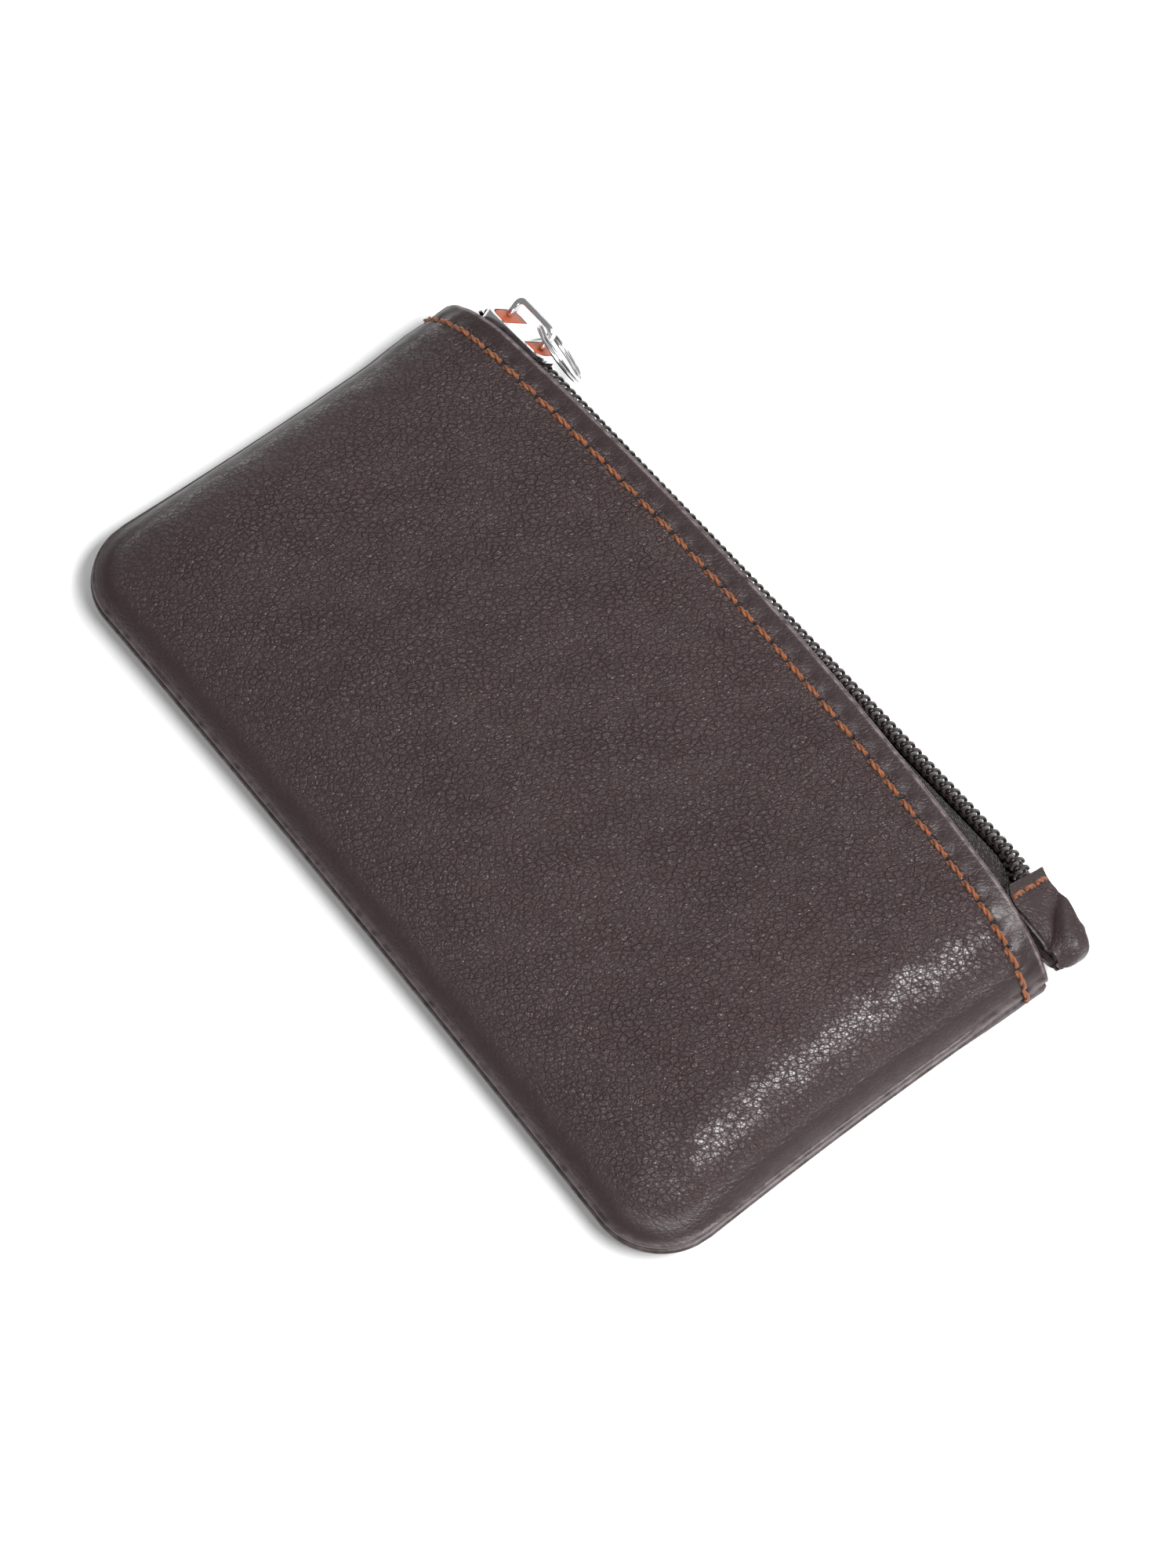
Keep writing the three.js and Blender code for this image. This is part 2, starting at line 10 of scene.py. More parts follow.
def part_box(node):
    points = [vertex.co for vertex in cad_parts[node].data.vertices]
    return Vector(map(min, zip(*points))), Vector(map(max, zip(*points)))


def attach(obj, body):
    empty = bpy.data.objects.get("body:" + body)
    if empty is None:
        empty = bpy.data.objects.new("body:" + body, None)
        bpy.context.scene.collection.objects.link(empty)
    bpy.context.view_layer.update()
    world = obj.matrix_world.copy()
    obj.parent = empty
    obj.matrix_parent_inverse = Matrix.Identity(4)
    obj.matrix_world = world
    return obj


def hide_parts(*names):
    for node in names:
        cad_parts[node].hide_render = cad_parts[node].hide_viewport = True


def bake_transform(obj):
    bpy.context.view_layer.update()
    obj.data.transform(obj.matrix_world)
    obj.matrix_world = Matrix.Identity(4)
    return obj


bl_info = {
    "name": "Zippered Pouch",
    "version": (1, 0, 0),
    "blender": (4, 5, 0),
    "location": "View3D > Sidebar > Pouch",
    "description": "Builds a leather pouch, its zip and its slider round a packed frame",
    "category": "Object",
}

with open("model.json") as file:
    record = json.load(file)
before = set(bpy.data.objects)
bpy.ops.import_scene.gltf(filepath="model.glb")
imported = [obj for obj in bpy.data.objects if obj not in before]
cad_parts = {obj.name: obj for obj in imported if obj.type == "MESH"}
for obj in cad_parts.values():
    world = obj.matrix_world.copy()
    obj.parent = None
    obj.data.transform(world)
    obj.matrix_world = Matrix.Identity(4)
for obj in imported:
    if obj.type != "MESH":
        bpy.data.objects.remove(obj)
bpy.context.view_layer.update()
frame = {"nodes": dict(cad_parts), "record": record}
MM = 0.001

# ---- sizes of the frame, and what lies inside it ------------------------------------------------
FRONT_LOW, FRONT_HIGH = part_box("front_panel")
BACK_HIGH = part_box("back_panel")[1]
HALF = FRONT_HIGH.x
MOUTH_Y = FRONT_HIGH.y
THICKNESS = FRONT_HIGH.z
SEAM_Z = (FRONT_LOW.z + BACK_HIGH.z) / 2
BACK_STEP = BACK_HIGH.y - FRONT_HIGH.y
CORNER_SHORTFALL = 0.17 * MM    # the frame's columns miss the lowest point of the bottom seam
BOTTOM_Y = FRONT_LOW.y - CORNER_SHORTFALL
FRONT_BOW = 3.4 * MM
CORNER_RADIUS = 9 * MM
SIDE_PULL = 0.6 * MM
SIDE_REACH = 14 * MM
BOTTOM_REACH = 27 * MM
LEATHER = 0.8 * MM
HEM = 2 * LEATHER
HEM_WIDTH = 8 * MM
HEM_RUN = 6 * MM
MOUTH_LIFT = 0.6 * MM
MOUTH_LIFT_RUN = 12 * MM
SEAM_GAP = FRONT_LOW.z - BACK_HIGH.z
STITCH_INSET = 3.1 * MM
LINING_INSET = 5 * MM
LINING_DEPTH = LEATHER + 0.7 * MM
LINING = 0.3 * MM
LINING_YARN = 0.42 * MM
TAPE = 0.4 * MM
TAPE_GAP = 0.45 * MM
TAPE_TUCK = 0.8 * MM
TAPE_MARGIN = 0.8 * MM
TAPE_N = -0.6 * MM
TAPE_INNER = 0.8 * MM
TAPE_FREE = 3.7 * MM
TAPE_TURN = 0.15 * MM
TAPE_ENDS = (-54.5 * MM, 53 * MM)
TAPE_YARN = 0.75 * MM
COIL_SPAN = (-56.6 * MM, 58 * MM)
COIL_TOP = 1.1 * MM
TAB_SPAN = (49.5 * MM, 61.5 * MM)
TAB_WIDTH = 6.6 * MM
TAB_STITCH_INSET = 1.5 * MM
TAB_GAP = 0.3 * MM              # between the tab and the coil or tape that it covers
# The mouth opens as an arch: shut beyond these two stations, fully open at mid-length. settle looks a
# station up but bends nothing.
ARCH_ENDS = {-1: -47 * MM, 1: 31 * MM}

JOINTS = {joint["name"]: joint for joint in frame["record"]["behaviour"]["joints"]}


def centre(node):
    """The middle of a frame node's box."""
    low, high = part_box(node)
    return (low + high) / 2


def zip_frame():
    """The zip's origin at mid-length and its axes: along the chain, outward, and to the front hem."""
    along = Vector(JOINTS["slider_travel"]["axis"]).normalized()
    front, back = centre("front_coil"), centre("back_coil")
    outward = (front - back).cross(along).normalized()
    across = along.cross(outward)
    middle = (front + back) / 2 - outward * (COIL_TOP - 0.1 * MM) / 2
    return middle - along * (middle.x / along.x), along, outward, across


ZIP_ORIGIN, ZIP_S, ZIP_N, ZIP_W = zip_frame()
BEND_START = 43.5 * MM          # from here on the zip turns flat and towards the front hem
BEND_RUN = 9 * MM
BEND_TURN = math.radians(27)
BEND_SHIFT = 3.0 * MM


def zip_axes(s):
    """The zip's outward direction and its direction to the front hem, at distances along it."""
    turn = BEND_TURN * smooth((np.asarray(s, float)[..., None] - BEND_START) / BEND_RUN)
    outward, across = np.array(ZIP_N), np.array(ZIP_W)
    return (outward * np.cos(turn) + across * np.sin(turn),
            across * np.cos(turn) - outward * np.sin(turn))


def on_chain(s, n, w):
    """Points of the zip's own frame, as an array of points of the pouch's."""
    s, n, w = (part[..., None] for part in np.broadcast_arrays(s, n, w))
    outward, across = zip_axes(s[..., 0])
    shift = BEND_SHIFT * smooth((s - BEND_START) / BEND_RUN)
    return np.array(ZIP_ORIGIN) + s * np.array(ZIP_S) + n * outward + (w + shift) * across


# ---- what a user may change ---------------------------------------------------------------------
def length_setting(name, description, default):
    return bpy.props.FloatProperty(
        name=name, description=description, default=default, min=0, unit="LENGTH", precision=5)


def colour_setting(name, description, default):
    return bpy.props.FloatVectorProperty(
        name=name, description=description, default=default, size=3, subtype="COLOR", min=0, max=1)


class PouchSizes(bpy.types.PropertyGroup):
    stitch_pitch: length_setting("Stitch pitch", "From one stitch to the next", 3.3 * MM)
    stitch_length: length_setting("Stitch length", "Length of thread that shows", 2.85 * MM)
    thread_width: length_setting("Thread width", "Width of the twisted thread", 0.72 * MM)
    coil_pitch: length_setting("Coil pitch", "From one turn of the coil to the next", 1.2 * MM)
    coil_wire: length_setting("Coil wire", "Diameter of the coil's monofilament", 0.5 * MM)
    ring_wire: length_setting("Ring wire", "Diameter of the split ring's wire", 0.42 * MM)
    grain: length_setting("Leather grain", "Width of one pebble of the grain", 0.72 * MM)
    pucker: length_setting("Pucker", "Depth that the stitches pull the leather in", 0.16 * MM)


class PouchColours(bpy.types.PropertyGroup):
    leather: colour_setting("Leather", "Main colour of the leather", (0.047, 0.025, 0.026))
    # pale colour for folds and rims: rubbed wear plus a painted highlight
    edge: colour_setting("Worn edge", "Leather where it is rubbed at folds", (0.30, 0.24, 0.25))
    thread: colour_setting("Thread", "Sewing thread", (0.20, 0.058, 0.015))
    tape: colour_setting("Tape", "Zip tape", (0.016, 0.011, 0.011))
    coil: colour_setting("Coil", "Zip coil", (0.014, 0.009, 0.009))
    lining: colour_setting("Lining", "Lining cloth", (0.035, 0.027, 0.029))
    metal: colour_setting("Metal", "Plated metal", (0.83, 0.83, 0.84))
    enamel: colour_setting("Enamel", "Fill of the slider's face", (0.40, 0.066, 0.013))


# ---- shape of the body, as the frame has it -----------------------------------------------------
def smooth(value):
    share = np.clip(value, 0, 1)
    return share * share * (3 - 2 * share)


def swell(distance, reach):
    """How full a soft body is at a distance from its seam."""
    return (1 - (1 - np.clip(distance / reach, 0, 1)) ** 2.5) ** 0.8


def mid_share(x):
    """One at mid-length and nothing at the side seams."""
    return np.clip(1 - (x / HALF) ** 2, 0, 1)


def front_mouth(x):
    return MOUTH_Y - FRONT_BOW * (x / HALF) ** 2


def back_mouth(x):
    return front_mouth(x) + BACK_STEP * mid_share(x)


def bottom_edge(x):
    past = np.clip(np.abs(x) - (HALF - CORNER_RADIUS), 0, CORNER_RADIUS)
    return BOTTOM_Y + SIDE_PULL * mid_share(x) + CORNER_RADIUS - np.sqrt(CORNER_RADIUS**2 - past**2)


def fullness(x, y):
    return swell(HALF - np.abs(x), SIDE_REACH) * swell(y - bottom_edge(x), BOTTOM_REACH)


def at_seam(y, mouth):
    """Thickness of leather beside the side seam, which the hem doubles."""
    return LEATHER * (1 + smooth((y - mouth + HEM_WIDTH) / HEM_RUN + 1))


def front_skin(x, y):
    low = SEAM_Z + SEAM_GAP / 2 + at_seam(y, front_mouth(x))
    return low + (THICKNESS - low) * fullness(x, y)


def back_skin(x, y):
    high = SEAM_Z - SEAM_GAP / 2 - at_seam(y, back_mouth(x))
    lift = MOUTH_LIFT * smooth((y - back_mouth(x)) / MOUTH_LIFT_RUN + 1)
    return high + (lift - high) * fullness(x, y)


def drawn_in(x, y):
    """Where a station goes when the sides are pulled in at mid-height."""
    share = np.clip((y - BOTTOM_Y) / (MOUTH_Y - FRONT_BOW - BOTTOM_Y), 0, 1)
    return x * (1 - SIDE_PULL / HALF * np.sin(np.pi * share))


def seam_distance(x, y):
    """Distance in plan from the turned seam, round the bottom corners too."""
    past_x = np.abs(x) - (HALF - CORNER_RADIUS)
    past_y = BOTTOM_Y + CORNER_RADIUS - y
    straight = np.minimum(HALF - np.abs(x), y - bottom_edge(x))
    return np.where((past_x > 0) & (past_y > 0), CORNER_RADIUS - np.hypot(past_x, past_y), straight)


def ridge(distance, middle, width):
    """A bell one high at its middle."""
    return np.exp(-((distance - middle) / width) ** 2)


def unit(vectors):
    """Vectors brought to length one."""
    return vectors / np.maximum(np.linalg.norm(vectors, axis=-1, keepdims=True), 1e-12)


def run_along(corners):
    """How far along a line of points each of them is."""
    return np.concatenate([[0], np.cumsum(np.linalg.norm(np.diff(corners, axis=0), axis=1))])


def points_at(distances, corners):
    """Points at distances along a line of corners."""
    run = run_along(corners)
    return np.stack([np.interp(distances, run, part) for part in corners.T], -1)


def undulation(x, y, seed, wave, count=7):
    """A slow, seeded waviness, mostly between -1 and 1, from plane waves of about one length."""
    rng = np.random.default_rng(seed)
    total = 0
    for _ in range(count):
        angle = rng.uniform(0, 2 * np.pi)
        turn = 2 * np.pi * (x * math.cos(angle) + y * math.sin(angle)) / (wave * rng.uniform(0.7, 1.5))
        total = total + np.sin(turn + rng.uniform(0, 2 * np.pi))
    return total / 4


# The two panels, by name: which way they face, their mouth line and their skin.
SIDES = {"front": (1, front_mouth, front_skin), "back": (-1, back_mouth, back_skin)}
# The halves that each soft piece is made in: panel, name and direction from mid-length.
HALVES = [(side, half, end) for side in SIDES for half, end in (("left", -1), ("right", 1))]


def mouth_row(side, pitch):
    """Stations along a row of mouth stitches and, at each, how many stitches lie before it."""
    _, mouth_at, skin = SIDES[side]
    x = np.linspace(-HALF, HALF, 1200)
    y = mouth_at(x) - STITCH_INSET
    run = run_along(np.stack([x, y, skin(x, y)], -1))
    return x, run * round(run[-1] / pitch) / run[-1]


# ---- meshes -------------------------------------------------------------------------------------
def add_object(name, mesh):
    """A mesh as an object in the scene."""
    piece = bpy.data.objects.new(name, mesh)
    bpy.context.scene.collection.objects.link(piece)
    return piece


def make_piece(name, points, faces, material, marks=None, sharp=40):
    """A smooth-shaded piece from points and faces, with named values stored at its points."""
    mesh = bpy.data.meshes.new(name)
    mesh.from_pydata(np.asarray(points).tolist(), [], faces)
    for label, values in (marks or {}).items():
        mesh.attributes.new(label, "FLOAT", "POINT").data.foreach_set("value", values.astype(np.float32))
    mesh.materials.append(material)
    mesh.shade_smooth()
    mesh.set_sharp_from_angle(angle=math.radians(sharp))
    mesh.update()
    return add_object(name, mesh)


def grid_faces(rows, cols, offset, flip):
    """Quads over a grid of points whose first index is offset; flip turns them over."""
    index = offset + np.arange(rows * cols).reshape(rows, cols)
    quads = np.stack([index[:-1, :-1], index[1:, :-1], index[1:, 1:], index[:-1, 1:]], -1).reshape(-1, 4)
    return (quads[:, ::-1] if flip else quads).tolist()


def rim_of(rows, cols):
    """Indices once round the border of a grid, starting along its first column."""
    index = np.arange(rows * cols).reshape(rows, cols)
    return np.concatenate([index[:, 0], index[-1, 1:], index[-2::-1, -1], index[0, -2:0:-1]])


def shell_between(outer, inner, rings, flip=False):
    """Points and faces of a closed body: two grids, and rings of points from rim to rim."""
    rows, cols = outer.shape[:2]
    count = rows * cols
    rim = rim_of(rows, cols)
    between = 2 * count + np.arange(len(rings) * len(rim)).reshape(len(rings), len(rim))
    loops = [rim, *between, rim + count]
    faces = grid_faces(rows, cols, 0, flip) + grid_faces(rows, cols, count, not flip)
    for upper, lower in zip(loops, loops[1:]):
        quads = np.stack([lower, np.roll(lower, -1), np.roll(upper, -1), upper], -1)
        faces += (quads[:, ::-1] if flip else quads).tolist()
    return np.concatenate([outer.reshape(-1, 3), inner.reshape(-1, 3), *rings]), faces


def rims(outer, inner):
    """The rims of two grids, and the first one's direction at each point."""
    rim = rim_of(*outer.shape[:2])
    top, low = outer.reshape(-1, 3)[rim], inner.reshape(-1, 3)[rim]
    return top, low, np.roll(top, -1, 0) - np.roll(top, 1, 0)


def closed_shell(outer, inner, bulge, steps, flip=False):
    """A closed body between two grids, whose rim bulges out in plan by one or many distances.

    The outer grid faces up, or down when flip is set."""
    top, low, tangent = rims(outer, inner)
    outward = np.stack([tangent[:, 1], -tangent[:, 0], np.zeros(len(top))], -1)
    outward[np.abs(top[:, 0]) < 1e-9, 0] = 0    # the cut at mid-length stays flat
    reach = unit(outward) * np.broadcast_to(bulge, len(top))[:, None]
    rings = []
    for angle in np.pi * np.arange(1, steps) / steps:
        rings.append(top + (low - top) * (1 - np.cos(angle)) / 2 + reach * np.sin(angle))
    return shell_between(outer, inner, rings, flip)


def rounded_strip(outer, inner, steps=6, roundness=0.8):
    """A closed body between two sheets of points, with nearly half-round edges."""
    top, low, tangent = rims(outer, inner)
    half = (top - low) / 2
    reach = unit(np.cross(tangent, half)) * np.linalg.norm(half, axis=1, keepdims=True) * roundness
    rings = []
    for angle in np.pi * np.arange(1, steps) / steps:
        rings.append((top + low) / 2 + half * np.cos(angle) + reach * np.sin(angle))
    return shell_between(outer, inner, rings)


def tube(path, radius, sides, above=(0, 0, 1)):
    """Points and faces of a closed tube along a path, with one radius or one for each point.

    above is any direction that the path doesn't start along."""
    radius = np.broadcast_to(radius, len(path))
    tangent = unit(np.gradient(path, axis=0))
    side = np.cross(tangent[0], above)
    points = []
    turn = (np.arange(sides) * 2 * np.pi / sides)[:, None]
    for place, ahead, reach in zip(path, tangent, radius):
        side = unit(side - ahead * (side @ ahead))
        points.append(place + reach * (np.cos(turn) * side + np.sin(turn) * np.cross(ahead, side)))
    rings = len(path)
    index = np.arange(rings * sides).reshape(rings, sides)
    around = np.roll(index, -1, 1)
    quads = np.stack([index[:-1], around[:-1], around[1:], index[1:]], -1).reshape(-1, 4)
    faces = quads.tolist() + [index[0, ::-1].tolist(), index[-1].tolist()]
    return np.concatenate(points), faces


def joined(parts):
    """Several (points, faces) as one."""
    points, faces, offset = [], [], 0
    for part_points, part_faces in parts:
        points.append(part_points)
        faces += [[index + offset for index in face] for face in part_faces]
        offset += len(part_points)
    return np.concatenate(points), faces


SHARP_EDGE = math.radians(35)


def softened_copy(name, node, width, material):
    """A frame node's shape with its doubles merged and its sharp edges rounded."""
    mesh = frame["nodes"][node].data.copy()
    mesh.materials.clear()
    piece = add_object(name, mesh)
    weld = piece.modifiers.new("weld", "WELD")
    weld.merge_threshold = 0.001 * MM
    flatten = piece.modifiers.new("flatten", "DECIMATE")
    flatten.decimate_type = "DISSOLVE"
    flatten.angle_limit = math.radians(1)
    bevel = piece.modifiers.new("bevel", "BEVEL")
    bevel.width = width
    bevel.segments = 4
    bevel.limit_method = "ANGLE"
    bevel.angle_limit = SHARP_EDGE
    plain = applied(piece)
    plain.materials.append(material)
    plain.shade_smooth()
    plain.set_sharp_from_angle(angle=SHARP_EDGE)
    piece.modifiers.clear()
    piece.data = plain
    return piece


def applied(piece):
    """What an object's modifiers make, as a plain mesh."""
    bpy.context.view_layer.update()
    graph = bpy.context.evaluated_depsgraph_get()
    return bpy.data.meshes.new_from_object(piece.evaluated_get(graph))


def add_node(tree, kind, settings=None, inputs=None):
    """Adds a node to a tree: its settings first, then its sockets by index or name."""
    made = tree.nodes.new(kind)
    for key, value in (settings or {}).items():
        setattr(made, key, value)
    for key, value in (inputs or {}).items():
        if isinstance(value, bpy.types.NodeSocket):
            tree.links.new(value, made.inputs[key])
        else:
            made.inputs[key].default_value = value
    return made


# ---- rows of copies, by Geometry Nodes ----------------------------------------------------------
def copies_tree():
    """A tree that puts a copy of one piece at each point, along and out as the point says."""
    tree = bpy.data.node_groups.new("rows_of_copies", "GeometryNodeTree")
    for name, kind in (("Geometry", "Geometry"), ("Piece", "Object"), ("Finish", "Material"),
                       ("Size Spread", "Float"), ("Turn Spread", "Float"), ("Seed", "Int")):
        tree.interface.new_socket(name, in_out="INPUT", socket_type="NodeSocket" + kind)
    tree.interface.new_socket("Geometry", in_out="OUTPUT", socket_type="NodeSocketGeometry")

    def node(kind, settings=None, inputs=None):
        return add_node(tree, kind, settings, inputs).outputs

    given = node("NodeGroupInput")
    vector = {"data_type": "FLOAT_VECTOR"}
    along = node("GeometryNodeInputNamedAttribute", vector, {"Name": "along"})[0]
    out = node("GeometryNodeInputNamedAttribute", vector, {"Name": "out"})[0]
    aim = node("FunctionNodeAxesToRotation", {"primary_axis": "X", "secondary_axis": "Z"},
               {"Primary Axis": along, "Secondary Axis": out})
    spin = node("FunctionNodeRandomValue", vector,
                {"Min": (-1, -1, -1), "Max": (1, 1, 1), "Seed": given["Seed"]})
    turned = node("ShaderNodeVectorMath", {"operation": "SCALE"},
                  {0: spin[0], "Scale": given["Turn Spread"]})
    wobble = node("FunctionNodeEulerToRotation", None, {0: turned[0]})
    rotation = node("FunctionNodeRotateRotation", {"rotation_space": "LOCAL"}, {0: aim[0], 1: wobble[0]})
    least = node("ShaderNodeMath", {"operation": "SUBTRACT"}, {0: 1.0, 1: given["Size Spread"]})
    most = node("ShaderNodeMath", {"operation": "ADD"}, {0: 1.0, 1: given["Size Spread"]})
    size = node("FunctionNodeRandomValue", {"data_type": "FLOAT"},
                {2: least[0], 3: most[0], "Seed": given["Seed"]})
    info = node("GeometryNodeObjectInfo", {"transform_space": "ORIGINAL"}, {"Object": given["Piece"]})
    copies = node("GeometryNodeInstanceOnPoints", None, {
        "Points": given["Geometry"], "Instance": info["Geometry"],
        "Rotation": rotation[0], "Scale": size[1]})
    real = node("GeometryNodeRealizeInstances", None, {0: copies[0]})
    finished = node("GeometryNodeSetMaterial", None, {0: real[0], "Material": given["Finish"]})
    node("NodeGroupOutput", None, {0: finished[0]})
    return tree


def row_of_copies(name, source, places, along, out, material, size_spread=0.0, turn_spread=0.0, seed=1):
    """Copies of a (points, faces) source at places, as one plain mesh object.

    Each copy's x lies along and its z points out, apart from its spreads."""
    tree = bpy.data.node_groups.get("rows_of_copies") or copies_tree()
    pattern = make_piece(name + "_one", *source, material, sharp=60)
    mesh = bpy.data.meshes.new(name + "_places")
    mesh.from_pydata(np.asarray(places).tolist(), [], [])
    for label, vectors in (("along", along), ("out", out)):
        values = np.broadcast_to(np.asarray(vectors, np.float32), (len(places), 3))
        mesh.attributes.new(label, "FLOAT_VECTOR", "POINT").data.foreach_set("vector", values.ravel())
    piece = add_object(name, mesh)
    modifier = piece.modifiers.new("copies", "NODES")
    modifier.node_group = tree
    wanted = {"Piece": pattern, "Finish": material, "Size Spread": size_spread,
              "Turn Spread": turn_spread, "Seed": seed}
    for item in tree.interface.items_tree:
        if item.in_out == "INPUT" and item.name in wanted:
            modifier[item.identifier] = wanted[item.name]
    plain = applied(piece)
    piece.modifiers.clear()
    piece.data = plain
    plain.shade_smooth()
    bpy.data.objects.remove(pattern)
    return piece


# ---- shader helpers -----------------------------------------------------------------------------
class Signal:
    """A shader socket that Python arithmetic works on: each operation adds its Math node."""

    def __init__(self, look, socket):
        self.look = look
        self.socket = socket

    def maths(self, operation, *values):
        return self.look.node("ShaderNodeMath", {"operation": operation}, values)

    def __add__(self, other):
        return self.maths("ADD", self, other)

    def __radd__(self, other):
        return self.maths("ADD", other, self)

    def __sub__(self, other):
        return self.maths("SUBTRACT", self, other)

    def __rsub__(self, other):
        return self.maths("SUBTRACT", other, self)

    def __mul__(self, other):
        return self.maths("MULTIPLY", self, other)

    def __rmul__(self, other):
        return self.maths("MULTIPLY", other, self)

    def clamped(self, low, high):
        """This signal's share of the way from low to high, kept between 0 and 1."""
        return self.look.node("ShaderNodeMapRange", {"clamp": True}, [self, low, high])

    def size(self):
        return self.maths("ABSOLUTE", self)

    def sine(self):
        return self.maths("SINE", self)


class Look:
    """A material under construction, whose nodes all come from one method."""

    def __init__(self, name):
        self.material = bpy.data.materials.new(name)
        self.material.use_nodes = True
        self.tree = self.material.node_tree
        self.tree.nodes.clear()

    def node(self, kind, settings=None, inputs=None, output=0):
        """Adds a node, with its inputs as a list or by index or name, and returns one output."""
        named = inputs if isinstance(inputs, dict) else dict(enumerate(inputs or ()))
        plain = {key: value.socket if isinstance(value, Signal) else value for key, value in named.items()}
        made = add_node(self.tree, kind, settings, plain)
        return Signal(self, made.outputs[output]) if made.outputs else None

    def place(self):
        return self.node("ShaderNodeTexCoord", output="Object")

    def turned(self, vector, rotation=(0, 0, 0), scale=(1, 1, 1)):
        return self.node("ShaderNodeMapping", None, {
            "Vector": vector, "Rotation": rotation, "Scale": scale})

    def noise(self, vector, size, detail=3.0, roughness=0.55):
        return self.node("ShaderNodeTexNoise", None, {
            "Vector": vector, "Scale": 1 / size, "Detail": detail, "Roughness": roughness})

    def cells(self, vector, size):
        """The distance from the edges of irregular cells, as a share of their size."""
        return self.node("ShaderNodeTexVoronoi", {"feature": "DISTANCE_TO_EDGE"}, {
            "Vector": vector, "Scale": 1 / size, "Randomness": 1.0})

    def mark(self, name):
        return self.node("ShaderNodeAttribute", {"attribute_name": name}, output="Fac")

    def blend(self, share, first, second):
        inputs = {0: share, 6: first, 7: second}
        return self.node("ShaderNodeMix", {"data_type": "RGBA"}, inputs, output=2)

    def shifted(self, vector, size, amount):
        """The vector pushed about by a coloured noise."""
        noise = {"Vector": vector, "Scale": 1 / size}
        push = self.node("ShaderNodeTexNoise", None, noise, output="Color")
        middle = self.node("ShaderNodeVectorMath", {"operation": "SUBTRACT"}, [push, (0.5, 0.5, 0.5)])
        scaled = self.node("ShaderNodeVectorMath", {"operation": "SCALE"}, {0: middle, "Scale": amount})
        return self.node("ShaderNodeVectorMath", {"operation": "ADD"}, [vector, scaled])

    def split(self, vector):
        """The three parts of a vector."""
        first = self.node("ShaderNodeSeparateXYZ", None, [vector])
        return [Signal(self, output) for output in first.socket.node.outputs]

    def relief(self, height, depth, strength=1.0):
        return self.node("ShaderNodeBump", None, {
            "Height": height, "Distance": depth, "Strength": strength})

    def surface(self, **sockets):
        """Finishes the material; base_color stands for the socket called Base Color, and so on."""
        named = {key.replace("_", " ").title().replace("Ior", "IOR"): sockets[key] for key in sockets}
        shader = self.node("ShaderNodeBsdfPrincipled", None, named)
        self.node("ShaderNodeOutputMaterial", None, {"Surface": shader})
        return self.material


def solid(colour, scale=1.0):
    """A plain colour, darker or lighter by scale, with its alpha."""
    return (*(min(part * scale, 1.0) for part in colour), 1.0)


GRAIN_TURN = math.radians(-52)  # the grain's creases run slantwise over the panel
GRAIN_STRETCH = (0.7, 1.05, 1.0)


def leather_look(name, colours, sizes):
    """Pebbled, satin leather; the marks say where it is smooth, rubbed or pierced. Painted shade darkens
    the cracks, the stitch holes and the smooth hem, and a painted highlight lightens the rubbed folds and
    rims.
    """
    look = Look(name)
    place = look.turned(look.turned(look.place(), (0, 0, GRAIN_TURN)), scale=GRAIN_STRETCH)
    pebble = sizes.grain
    bent = look.shifted(place, 1.6 * pebble, 0.5 * pebble)
    pebbles = look.cells(bent, pebble).clamped(0.02, 0.2)
    small = look.cells(look.shifted(place, pebble, 0.3 * pebble), 0.45 * pebble).clamped(0, 0.2)
    patches = look.noise(place, 7 * pebble, 2.0).clamped(0.35, 0.65)
    fine = look.noise(place, 0.2 * pebble, 3.0, 0.6)
    wrinkles = (look.noise(bent, 4.5 * pebble, 3.0, 0.5) - 0.5).size().clamped(0.0, 0.03)
    grain = look.mark("grain")
    coarse = pebbles * (patches * 0.4 + 0.35) + small * 0.25 + wrinkles * 0.25
    height = coarse * grain + fine * (grain * 0.05 + 0.015)
    # lighter at folds and rims: rubbed wear plus a painted highlight on the rounded edges
    wear_and_highlight = look.mark("wear_and_highlight") * look.noise(place, 1.6 * pebble, 4.0).clamped(0.3, 0.62)
    pit = look.mark("pit")
    cracks = (1 - pebbles * small) * grain
    tone = look.noise(look.place(), 22 * MM, 3.0).clamped(0.25, 0.75)
    base = look.blend(tone, solid(colours.leather, 0.95), solid(colours.leather, 1.18))
    # the smooth hem band and rolled edges are painted darker: partly the smooth leather's own tone, partly
    # painted shade on the hem band and rolled edges
    smooth_and_shaded = look.blend((1 - grain) * 0.95, base, solid(colours.leather, 0.4))
    # painted shade: the cracks between the pebbles are painted much darker than the leather
    shaded_cracks = look.blend(cracks * 0.55, smooth_and_shaded, solid(colours.leather, 0.25))
    shine = (1 - cracks) * look.noise(place, 2.5 * pebble, 3.0).clamped(0.3, 0.6) * grain
    # the edge colour is painted over folds and rims as rubbed wear plus a painted highlight
    rubbed_and_highlit = look.blend(wear_and_highlight * 0.75, shaded_cracks, solid(colours.edge))
    # painted shade: the stitch holes are painted near black
    holes_shaded = look.blend(pit, rubbed_and_highlit, solid(colours.leather, 0.08))
    return look.surface(
        base_color=holes_shaded,
        roughness=0.34 + cracks * 0.25 + pit * 0.3 + (1 - grain) * 0.1,
        specular_ior_level=0.42, coat_weight=shine, coat_roughness=0.29,
        normal=look.relief(height, 0.22 * MM, 1.0))


